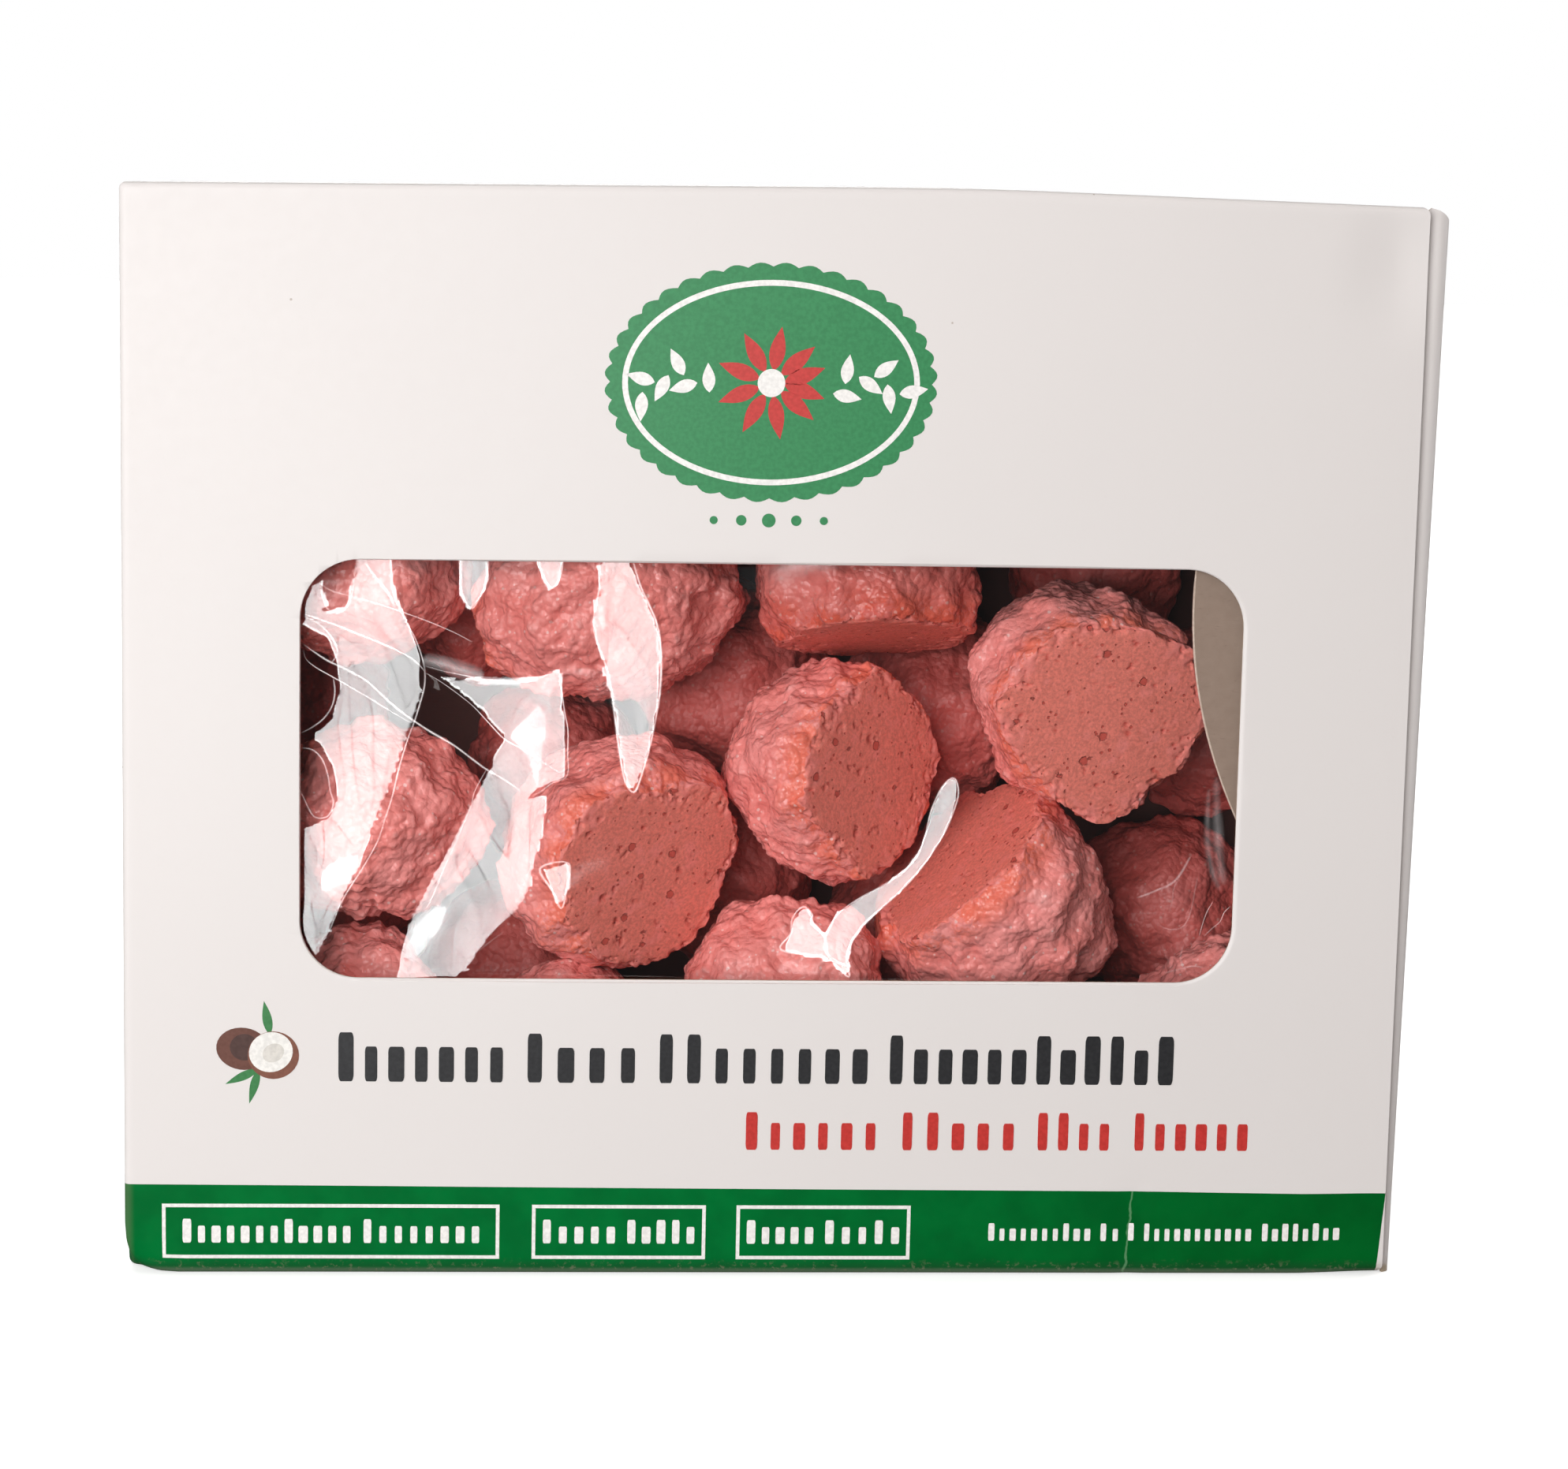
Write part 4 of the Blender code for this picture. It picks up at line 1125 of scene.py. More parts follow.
# White ribbons on the film, partly folds whitened by stress and partly painted glints and reflections of
# creases, wrinkles and a hazy smear: points of (x, z) in mm, then the widest width in mm and the whiteness.
FOLDS = (
    (((-56.1, 87.6), (-54.8, 86.7), (-52.7, 86.1), (-49.8, 85.4), (-46.8, 84.5), (-43.0, 83.2),
      (-39.6, 81.8), (-37.3, 80.6)), 0.26, 0.75),
    (((-58.2, 83.7), (-56.5, 83.2), (-53.6, 82.2), (-50.7, 81.1), (-47.8, 80.0), (-45.4, 78.9),
      (-43.9, 77.9), (-43.1, 76.9)), 0.36, 0.9),
    (((-43.1, 76.7), (-41.0, 75.4), (-39.0, 74.0), (-37.0, 72.4), (-35.1, 70.4), (-33.1, 68.4),
      (-30.7, 67.2), (-27.2, 65.1), (-25.6, 64.1)), 0.24, 0.8),
    (((-43.1, 77.6), (-41.0, 76.9), (-38.1, 76.3), (-35.1, 75.8), (-32.2, 75.6), (-30.1, 75.7),
      (-28.3, 76.4), (-27.1, 77.2)), 0.24, 0.8),
    (((-27.1, 77.2), (-26.5, 76.3), (-26.1, 74.4), (-25.7, 71.9), (-25.3, 69.9), (-25.3, 66.9),
      (-25.2, 64.9), (-25.6, 63.9), (-27.2, 63.2), (-28.6, 62.1), (-29.5, 61.6)), 0.24, 0.75),
    (((-58.1, 80.0), (-56.7, 79.0), (-55.0, 77.9), (-52.6, 76.8), (-50.2, 75.5), (-48.2, 73.7),
      (-46.3, 72.1), (-44.3, 70.7), (-42.4, 69.4), (-39.4, 67.6), (-37.0, 65.8), (-35.2, 64.5),
      (-33.1, 63.4), (-31.1, 62.1)), 0.42, 0.8),
    (((-58.1, 79.3), (-57.7, 78.1), (-56.5, 77.1), (-54.6, 76.0), (-52.1, 74.6), (-49.7, 73.3),
      (-46.8, 71.6), (-44.6, 70.4)), 0.22, 0.7),
    (((-58.2, 83.5), (-56.5, 82.7), (-55.2, 81.6), (-54.2, 80.1), (-53.9, 78.9),
      (-54.6, 77.7)), 0.4, 0.55),
    (((-54.4, 75.8), (-54.2, 74.2), (-54.5, 72.4), (-55.5, 70.8), (-57.0, 69.6),
      (-58.4, 68.9)), 0.36, 0.6),
    (((-58.4, 67.1), (-56.9, 66.8), (-55.7, 65.6), (-55.0, 63.6), (-54.7, 61.7), (-54.3, 60.2),
      (-54.9, 58.6), (-56.1, 58.2), (-57.0, 58.8), (-58.0, 60.9), (-58.4, 61.7)), 0.36, 0.6),
    (((-46.2, 90.2), (-47.1, 88.8), (-47.2, 87.4), (-46.6, 85.3), (-45.4, 83.0), (-44.2, 80.8),
      (-43.4, 78.6), (-43.1, 77.1), (-43.1, 75.1), (-43.7, 72.7), (-44.3, 70.7), (-45.2, 68.2),
      (-46.2, 64.7), (-47.0, 61.2), (-47.9, 58.3), (-48.8, 55.5), (-50.6, 52.2), (-52.0, 50.0),
      (-53.3, 47.7), (-54.1, 45.7), (-54.9, 43.9), (-56.2, 42.4)), 0.34, 0.7),
    (((-51.7, 89.9), (-51.9, 88.3), (-52.2, 86.1), (-52.8, 84.6), (-54.1, 83.9), (-55.3, 84.6),
      (-55.9, 86.3), (-56.1, 87.6)), 0.3, 0.7),
    (((-50.5, 90.1), (-49.3, 88.5), (-47.6, 86.4), (-46.8, 84.7)), 0.6, 0.5),
    (((-35.2, 64.8), (-35.8, 63.8), (-36.8, 61.8), (-37.3, 59.8), (-38.1, 57.8), (-39.1, 55.3),
      (-40.2, 52.8), (-41.2, 50.3), (-42.0, 48.3), (-42.9, 46.5), (-44.3, 44.8), (-45.3, 42.3),
      (-46.0, 40.7)), 0.22, 0.55),
    (((-28.2, 62.4), (-28.3, 58.4), (-28.9, 54.9), (-30.2, 51.4), (-31.9, 47.4), (-35.3, 43.3),
      (-37.8, 40.8), (-39.9, 38.7)), 0.16, 0.3),
    (((54.8, 44.4), (55.2, 46.1), (55.7, 47.6), (56.4, 48.9)), 0.2, 0.7),
    (((55.4, 44.4), (56.4, 45.4), (57.4, 46.3), (57.9, 47.5), (58.7, 48.3)), 0.2, 0.7),
    (((46.6, 49.3), (48.0, 49.8), (49.4, 50.4), (50.9, 51.1), (51.9, 52.1), (52.7, 53.5),
      (53.3, 54.7)), 0.55, 0.26),
    (((50.8, 47.3), (51.2, 49.1), (51.3, 50.6), (52.1, 51.9)), 0.2, 0.18),
    (((49.6, 45.8), (50.8, 45.3), (52.3, 45.4), (53.2, 46.4), (53.7, 48.1), (54.0, 50.1),
      (54.3, 52.1)), 0.2, 0.2),
    (((45.7, 47.2), (47.7, 47.3), (49.3, 47.4)), 0.16, 0.16),
    (((50.0, 43.4), (50.7, 41.7), (51.7, 40.1)), 0.16, 0.16),
    (((52.9, 43.4), (52.5, 41.7), (53.0, 40.4), (53.5, 39.5)), 0.22, 0.2),
    (((50.0, 39.5), (52.0, 40.0), (54.0, 40.5), (55.6, 40.3)), 0.3, 0.2),
    (((55.3, 63.3), (55.3, 59.2), (55.6, 55.2), (56.4, 52.2), (57.3, 50.3)), 1.5, 0.12),
    (((56.2, 64.8), (56.5, 59.2), (57.0, 54.2), (57.7, 51.0)), 2.2, 0.14),
    (((-32.9, 44.4), (-35.3, 42.5), (-37.8, 40.4)), 0.14, 0.4),
    (((-43.4, 78.4), (-41.0, 77.8), (-38.5, 77.0), (-35.8, 76.3)), 3.4, 0.42),
    (((-47.6, 39.1), (-44.6, 38.8), (-41.7, 39.3), (-40.2, 39.4), (-39.2, 38.9)), 0.16, 0.4),
)
# The outlines among TURNED that get a white ribbon all round, a painted highlight along the rim of each
# reflection.
FOLDED = (3, 4, 5, 6, 7, 8)
# The film's grid, its gap behind the board, and how far its folds lie before it.
FILM_COLUMNS = 300
FILM_ROWS = 150
FILM_GAP = 0.08 * MM
FOLD_PROUD = 0.045 * MM


def inside_outline(x, z, outline):
    """True where a point lies inside the outline, and its distance from the outline's edge."""
    within = np.zeros(x.shape, bool)
    edge = np.full(x.shape, 1.0)
    count = len(outline)
    for index in range(count):
        (ax, az), (bx, bz) = outline[index], outline[(index + 1) % count]
        crosses = (az > z) != (bz > z)
        with np.errstate(divide="ignore", invalid="ignore"):
            at = ax + (z - az) * (bx - ax) / (bz - az if bz != az else 1e-12)
        within ^= crosses & (x < at)
        share = ((x - ax) * (bx - ax) + (z - az) * (bz - az)) / ((bx - ax) ** 2 + (bz - az) ** 2)
        share = np.clip(share, 0.0, 1.0)
        edge = np.minimum(edge, np.hypot(x - ax - share * (bx - ax), z - az - share * (bz - az)))
    return within, edge


def slopes_towards(x, y, z, target):
    """The film's slopes along X and Z that mirror the target point to the camera."""
    camera = np.array(CAMERA_PLACE) - (PANEL_X, 0.0, 0.0)
    to_eye = [camera[0] - x, camera[1] - y, camera[2] - z]
    to_lamp = [target[0] - x, target[1] - y, target[2] - z]
    eye = np.sqrt(sum(part ** 2 for part in to_eye))
    lamp = np.sqrt(sum(part ** 2 for part in to_lamp))
    half = [a / eye + b / lamp for a, b in zip(to_eye, to_lamp)]
    return half[0] / -half[1], half[2] / -half[1]


def sine_matrix(count):
    """The waves that fit between two fixed ends, one to each row."""
    steps = np.arange(1, count + 1)
    return np.sin(np.pi * np.outer(steps, steps) / (count + 1))


def settle(height, slope_x, slope_z, dx, dz, sines):
    """The height, still at its border, whose slopes come nearest to the wanted ones."""
    wanted = (slope_x[1:-1, 1:] - slope_x[1:-1, :-1]) / dx + (slope_z[1:, 1:-1] - slope_z[:-1, 1:-1]) / dz
    rows, columns = wanted.shape
    along_z, along_x = sines
    waves_z = (2.0 - 2.0 * np.cos(np.pi * np.arange(1, rows + 1) / (rows + 1))) / dz ** 2
    waves_x = (2.0 - 2.0 * np.cos(np.pi * np.arange(1, columns + 1) / (columns + 1))) / dx ** 2
    spread = along_z @ -wanted @ along_x / (waves_z[:, None] + waves_x[None, :])
    result = height.copy()
    result[1:-1, 1:-1] = along_z @ spread @ along_x * 4.0 / ((rows + 1) * (columns + 1))
    return result


def furthest_back(x, z):
    """How far back the film can lie at each grid point before it meets a macaroon."""
    limit = np.full(x.shape, FRONT + 3.2 * MM)
    dx, dz = x[0, 1] - x[0, 0], z[1, 0] - z[0, 0]
    for number in range(1, len(AT_WINDOW) + 1):
        mesh = bpy.data.objects[f"coconut_macaroon_{number:02d}"].data
        points = np.empty(len(mesh.vertices) * 3, np.float32)
        mesh.vertices.foreach_get("co", points)
        points = points.reshape(-1, 3)
        column = np.round((points[:, 0] - PANEL_X - x[0, 0]) / dx).astype(int)
        row = np.round((points[:, 2] - z[0, 0]) / dz).astype(int)
        seen = (column >= 0) & (column < x.shape[1]) & (row >= 0) & (row < x.shape[0])
        np.minimum.at(limit, (row[seen], column[seen]), points[seen, 1])
    padded = np.pad(limit, 1, mode="edge")
    shifts = [padded[i:i + x.shape[0], j:j + x.shape[1]] for i in range(3) for j in range(3)]
    return np.minimum.reduce(shifts) - 0.10 * MM


def film_heights(x, z, rest, lamp, rounds):
    """How far the film stands from rest: taut, but turned so that the lamp shows inside each outline.

    Each round nudges the slopes of every cell into the range that it may have, and settles the film again.
    """
    dx, dz = x[0, 1] - x[0, 0], z[1, 0] - z[0, 0]
    rest_x, rest_z = np.diff(rest, axis=1) / dx, np.diff(rest, axis=0) / dz
    middle = (x[:-1, :-1] + dx / 2, rest[:-1, :-1], z[:-1, :-1] + dz / 2)
    near, far = np.array(lamp["near"]), np.array(lamp["far"])
    want_x, want_z = slopes_towards(*middle, near)
    # Outside the outlines the film turns past the softbox; inside, it stays between these slopes.
    free_x = want_x + 0.035
    low_x, high_x = slopes_towards(*middle, far)[0] + 0.006, want_x - 0.010
    low_z = slopes_towards(*middle, lamp["bottom"])[1] + 0.012
    high_z = slopes_towards(*middle, lamp["top"])[1] - 0.012
    turned = np.zeros(want_x.shape, bool)
    for outline in TURNED:
        within, edge = inside_outline(middle[0], middle[2], [(u * MM, v * MM) for u, v in outline])
        depth = np.clip(edge / (1.6 * MM), 0.0, 1.0)
        depth = depth * depth * (3.0 - 2.0 * depth)
        # Fine streaks run through what it mirrors.
        streak = np.sin((middle[0] + 0.35 * middle[2]) / (1.15 * MM) + 1.3 * np.sin(middle[2] / (4.3 * MM)))
        share = 0.10 + (0.40 + 0.26 * streak) * depth
        goal_x, goal_z = slopes_towards(*middle, [near[i] + (far[i] - near[i]) * share for i in range(3)])
        want_x = np.where(within, goal_x, want_x)
        want_z = np.where(within, goal_z, want_z)
        turned |= within
    hot_x, hot_z = slopes_towards(*middle, lamp["hot"])
    hot_far = slopes_towards(*middle, lamp["hot_far"])[0] + 0.004
    hot_low, hot_high = (slopes_towards(*middle, lamp[name])[1] for name in ("hot_bottom", "hot_top"))
    for outline in BRIGHTEST:
        within, _ = inside_outline(middle[0], middle[2], [(u * MM, v * MM) for u, v in outline])
        within &= turned
        high_x = np.where(within, low_x - 0.010, high_x)
        low_x = np.where(within, hot_far, low_x)
        low_z, high_z = np.where(within, hot_low + 0.006, low_z), np.where(within, hot_high - 0.006, high_z)
        want_x, want_z = np.where(within, hot_x, want_x), np.where(within, hot_z, want_z)
    # It can come forward in the window alone, and back as far as the macaroons.
    inside_x = np.abs(x - WINDOW_X) < WINDOW_WIDTH / 2 - 0.2 * MM
    inside_z = np.abs(z - WINDOW_Z) < WINDOW_HEIGHT / 2 - 0.2 * MM
    forward = np.where(inside_x & inside_z, -0.60 * MM, 0.0)
    backward = np.maximum(furthest_back(x, z) - rest, 0.05 * MM)
    sines = sine_matrix(x.shape[0] - 2), sine_matrix(x.shape[1] - 2)
    height = np.zeros(x.shape)
    for turn in range(rounds):
        slope_x, slope_z = np.diff(height, axis=1) / dx, np.diff(height, axis=0) / dz
        all_x, all_z = slope_x + rest_x, slope_z + rest_z
        cell_x, cell_z = (all_x[1:] + all_x[:-1]) / 2, (all_z[:, 1:] + all_z[:, :-1]) / 2
        first = turn < rounds / 6
        more_x = (want_x if first else np.clip(cell_x, low_x, high_x)) - cell_x
        more_z = (want_z if first else np.clip(cell_z, low_z, high_z)) - cell_z
        haste = 1.0 if first else 1.5
        more_x = haste * np.where(turned, more_x, np.maximum(free_x - cell_x, 0.0))
        more_z = haste * np.where(turned, more_z, 0.0)
        edge_x = np.pad(more_x, ((1, 1), (0, 0)), mode="edge")
        edge_z = np.pad(more_z, ((0, 0), (1, 1)), mode="edge")
        slope_x += (edge_x[1:] + edge_x[:-1]) / 2
        slope_z += (edge_z[:, 1:] + edge_z[:, :-1]) / 2
        height = np.clip(settle(height, slope_x, slope_z, dx, dz, sines), forward, backward)
    return height


def rounded_path(points, closed=False, steps=4):
    """A smooth curve, in metres, through points in mm."""
    count = len(points)
    last = count if closed else count - 1
    path = []
    for index in range(last):
        near = range(index - 1, index + 3)
        near = [k % count for k in near] if closed else [min(max(k, 0), count - 1) for k in near]
        p0, p1, p2, p3 = [Vector(points[k]) * MM for k in near]
        for step in range(steps):
            t = step / steps
            bend = (2 * p0 - 5 * p1 + 4 * p2 - p3) * t * t
            twist = (3 * p1 - p0 - 3 * p2 + p3) * t ** 3
            path.append(0.5 * (2 * p1 + (p2 - p0) * t + bend + twist))
    return path + [path[0] if closed else Vector(points[-1]) * MM]


def fold_mesh(surface, proud):
    """Ribbons along the film's folds and round some reflections, partly whitening and partly painted glints
    and highlight rims: whitest along the middle, clear at both sides.
    """
    folds = [(rounded_path(points), width, white, False) for points, width, white in FOLDS]
    # Painted highlight: white rims round these reflections.
    folds += [(rounded_path(TURNED[index], True), 0.42, 0.70, True) for index in FOLDED]
    points, faces, whitening_and_glint = [], [], []
    for path, width, white, closed in folds:
        start, count = len(points), len(path)
        for index, point in enumerate(path):
            along = (path[min(index + 1, count - 1)] - path[max(index - 1, 0)]).normalized()
            ease = 1.0 if closed else max(0.0, math.sin(math.pi * index / (count - 1))) ** 0.4
            ease *= 0.75 + 0.5 * noise.noise(Vector((point.x * 240.0, 1.7, point.y * 240.0)))
            for side in (-1.0, 0.0, 1.0):
                reach = side * width * MM / 2 * (0.3 + 0.7 * ease)
                u, w = point.x - along.y * reach, point.y + along.x * reach
                points.append((u, surface(u, w) - proud, w))
                whitening_and_glint.append(0.8 * white * (0.25 + 0.75 * ease) * (1.0 - abs(side)))
        for row in range(count - 1):
            first = start + 3 * row
            faces += [(first + k, first + k + 1, first + k + 4, first + k + 3) for k in (0, 1)]
    mesh = bpy.data.meshes.new("film_folds")
    mesh.from_pydata(points, [], faces)
    mesh.attributes.new("whitening_and_glint", "FLOAT", "POINT").data.foreach_set("value", whitening_and_glint)
    return mesh


def bare_shader(name):
    """A material without a Principled node, its tree and its Object coordinates."""
    material = bpy.data.materials.new(name)
    material.use_nodes = True
    tree = material.node_tree
    tree.nodes.clear()
    return material, tree, add_node(tree, "ShaderNodeTexCoord").outputs["Object"]


def fold_shader():
    """White over clear film, partly a fold's whitening and partly painted glints and highlight: it scatters a
    little white light and stays clear.
    """
    material, tree, place = bare_shader("whitened_and_glinting_film")
    uneven = ramp(tree, noise_at(tree, place, 1.5 * MM, 3.0), 0.3, 0.7, 0.65, 1.0)
    shade = maths(tree, "MULTIPLY", attribute(tree, "whitening_and_glint"), uneven)
    # White added over the film: partly fold whitening, partly painted glints and highlight.
    white = scaled(tree, (0.90, 0.87, 0.87), shade)
    scattered = add_node(tree, "ShaderNodeBsdfDiffuse", {"Color": white}).outputs[0]
    clear = add_node(tree, "ShaderNodeBsdfTransparent", {"Color": (1.0, 1.0, 1.0, 1.0)}).outputs[0]
    both = add_node(tree, "ShaderNodeAddShader", {0: clear, 1: scattered}).outputs[0]
    add_node(tree, "ShaderNodeOutputMaterial", {"Surface": both})
    return material


def film_shader():
    """Clear film: a mirror by Fresnel's share over plain see-through."""
    material, tree, place = bare_shader("clear_film")
    facing = add_node(tree, "ShaderNodeLayerWeight", {"Blend": 0.5}).outputs["Facing"]
    share = maths(tree, "MULTIPLY_ADD", maths(tree, "POWER", facing, 5.0), 0.9, 0.043)
    clear = add_node(tree, "ShaderNodeBsdfTransparent", {"Color": (0.995, 0.995, 0.995, 1.0)}).outputs[0]
    soft = ramp(tree, noise_at(tree, place, 9.0 * MM, 2.0), 0.35, 0.70, 0.05, 0.11)
    gloss = add_node(tree, "ShaderNodeBsdfGlossy", {"Roughness": soft, "Color": (1.0, 1.0, 1.0, 1.0)})
    mixed = add_node(tree, "ShaderNodeMixShader", {0: share, 1: clear, 2: gloss.outputs[0]}).outputs[0]
    add_node(tree, "ShaderNodeOutputMaterial", {"Surface": mixed})
    return material


# Settings.


class CartonSettings(bpy.types.PropertyGroup):
    mesh_step: FloatProperty(
        name="Mesh Step", description="Distance between the cuts that let the board bend",
        default=2.2 * MM, min=1.0 * MM, max=10.0 * MM, unit="LENGTH",
    )
    band_top: FloatProperty(
        name="Band Top", description="Height of the coloured foot band at the carton's middle",
        default=11.35 * MM, unit="LENGTH",
    )
    white: FloatVectorProperty(
        name="Coated White", description="Colour of the coated board", subtype="COLOR",
        default=(0.82, 0.778, 0.757),
    )
    green: FloatVectorProperty(
        name="Band Green", description="Colour of the foot band's ink", subtype="COLOR",
        default=(0.0, 0.138, 0.027),
    )


class PrintSettings(bpy.types.PropertyGroup):
    black: FloatVectorProperty(
        name="Title Black", description="Ink of the title's blocks", subtype="COLOR",
        default=(0.016, 0.016, 0.018),
    )
    red: FloatVectorProperty(
        name="Red", description="Ink of the line below the title and of the flower", subtype="COLOR",
        default=(0.53, 0.028, 0.022),
    )
    green: FloatVectorProperty(
        name="Motif Green", description="Ink of the badge", subtype="COLOR", default=(0.018, 0.22, 0.07)
    )
    paper: FloatVectorProperty(
        name="Bare White", description="Blocks and lines left bare in the green", subtype="COLOR",
        default=(0.84, 0.82, 0.79),
    )
    tall_share: FloatProperty(
        name="Tall Share", description="Share of the blocks that are tall", default=0.28, min=0.0, max=1.0,
        subtype="FACTOR",
    )
    width_spread: FloatProperty(
        name="Width Spread", description="How much block widths differ", default=0.30, min=0.0, max=1.0,
        subtype="FACTOR",
    )


class FilmSettings(bpy.types.PropertyGroup):
    thickness: FloatProperty(
        name="Thickness", description="Thickness of the clear film", default=0.05 * MM, unit="LENGTH"
    )
    rounds: IntProperty(
        name="Settling Rounds", description="How often the film's wrinkles are settled", default=360, min=1
    )


class MacaroonSettings(bpy.types.PropertyGroup):
    crust: FloatVectorProperty(
        name="Crust", description="Colour of the moist crust", subtype="COLOR", default=(0.95, 0.285, 0.255)
    )
    # Painted highlight on raised nodules and shred tips.
    crust_painted_highlight: FloatVectorProperty(
        name="Crust Light", description="Colour of raised nodules", subtype="COLOR",
        default=(0.97, 0.45, 0.42),
    )
    # Painted shade in hollows, between shreds and in pores.
    crust_painted_shade: FloatVectorProperty(
        name="Crust Deep", description="Colour of hollows and pores", subtype="COLOR",
        default=(0.60, 0.085, 0.062),
    )
    toasted: FloatVectorProperty(
        name="Toasted", description="Colour of the toasted ring above the foot", subtype="COLOR",
        default=(0.93, 0.205, 0.135),
    )
    base: FloatVectorProperty(
        name="Base", description="Colour of the flat base", subtype="COLOR", default=(0.81, 0.220, 0.168)
    )
    lump_depth: FloatProperty(
        name="Lump Depth", description="Depth of the crust's lumps", default=0.50 * MM, unit="LENGTH"
    )
    nodule_depth: FloatProperty(
        name="Nodule Depth", description="Depth of the crust's nodules", default=0.46 * MM, unit="LENGTH"
    )
    bead_depth: FloatProperty(
        name="Bead Depth", description="Depth of the crust's small beads", default=0.36 * MM, unit="LENGTH"
    )
    grain_depth: FloatProperty(
        name="Grain Depth", description="Depth of the crust's grain", default=0.22 * MM, unit="LENGTH"
    )


class StageSettings(bpy.types.PropertyGroup):
    key_power: FloatProperty(
        name="Softbox", description="Power of the tall softbox", default=3.35, unit="POWER"
    )
    rim_power: FloatProperty(
        name="Softbox Rim", description="Power of the softbox's rim", default=0.75, unit="POWER"
    )
    hot_power: FloatProperty(
        name="Bright Panel", description="Power of the small panel", default=0.70, unit="POWER"
    )
    sun_power: FloatProperty(name="Overhead", description="Strength of the light from above", default=0.55)
    floor_colour: FloatVectorProperty(
        name="Floor", description="Colour of the floor", subtype="COLOR", default=(0.88, 0.88, 0.88)
    )


# Operators.


class CARTON_OT_board(bpy.types.Operator):
    """Builds the carton's board with its window, side lid and tongue"""

    bl_idname = "carton.board"
    bl_label = "Carton Board"

    def execute(self, context):
        settings = context.scene.carton_board
        shell = box_shell(settings.mesh_step)
        cutters = [window_cutter(), slot_cutter(), lid_sheet()]
        for cutter, operation in zip(cutters, ("DIFFERENCE", "DIFFERENCE", "UNION")):
            cut_with(shell, cutter, operation)
        baked(shell)
        for cutter in cutters:
            remove_object(cutter)
        if len(shell.data.polygons) < 1000:
            raise RuntimeError("the carton's board came out empty")
        lines = (settings.band_top, settings.band_top + (BAND_SLOPES[0] - BAND_SLOPES[1]) * BAND_BEND)
        bm = bmesh.new()
        bm.from_mesh(shell.data)
        bmesh.ops.remove_doubles(bm, verts=bm.verts, dist=0.001 * MM)
        slice_at(bm, 0, TUCKED_X)
        for level, slope in zip(lines, BAND_SLOPES):
            slice_at(bm, 2, level, slope)
        right_top = lines[1] + BAND_SLOPES[1] * HALF_WIDTH
        slice_at(bm, 2, band_end(0.0, right_top), BAND_END_SLOPE)
        bmesh.ops.dissolve_degenerate(bm, edges=bm.edges, dist=0.001 * MM)
        bmesh.ops.triangulate(bm, faces=bm.faces)
        bm.normal_update()
        for face in bm.faces:
            centre = face.calc_center_median()
            band_top = min(level + slope * centre.x for level, slope in zip(lines, BAND_SLOPES))
            face.material_index = finish_of(centre, face.normal, band_top)
        for vert in bm.verts:
            vert.co = warp(vert.co)
        mesh = mesh_of(bm, "carton_board")
        shell.data = mesh
        finishes = {
            COATED: board_shader(settings), BAND: band_shader(settings),
            GREY_BACK: grey_back_shader(), CUT_EDGE: cut_edge_shader(),
        }
        for slot in sorted(finishes):
            mesh.materials.append(finishes[slot])
        mesh.shade_smooth()
        mesh.set_sharp_from_angle(angle=math.radians(40))
        shell.modifiers.new("Face Weights", "WEIGHTED_NORMAL").keep_sharp = True
        baked(shell)
        ship(shell, "board", "carton")
        ship(tongue_edge(), "board")
        return {"FINISHED"}


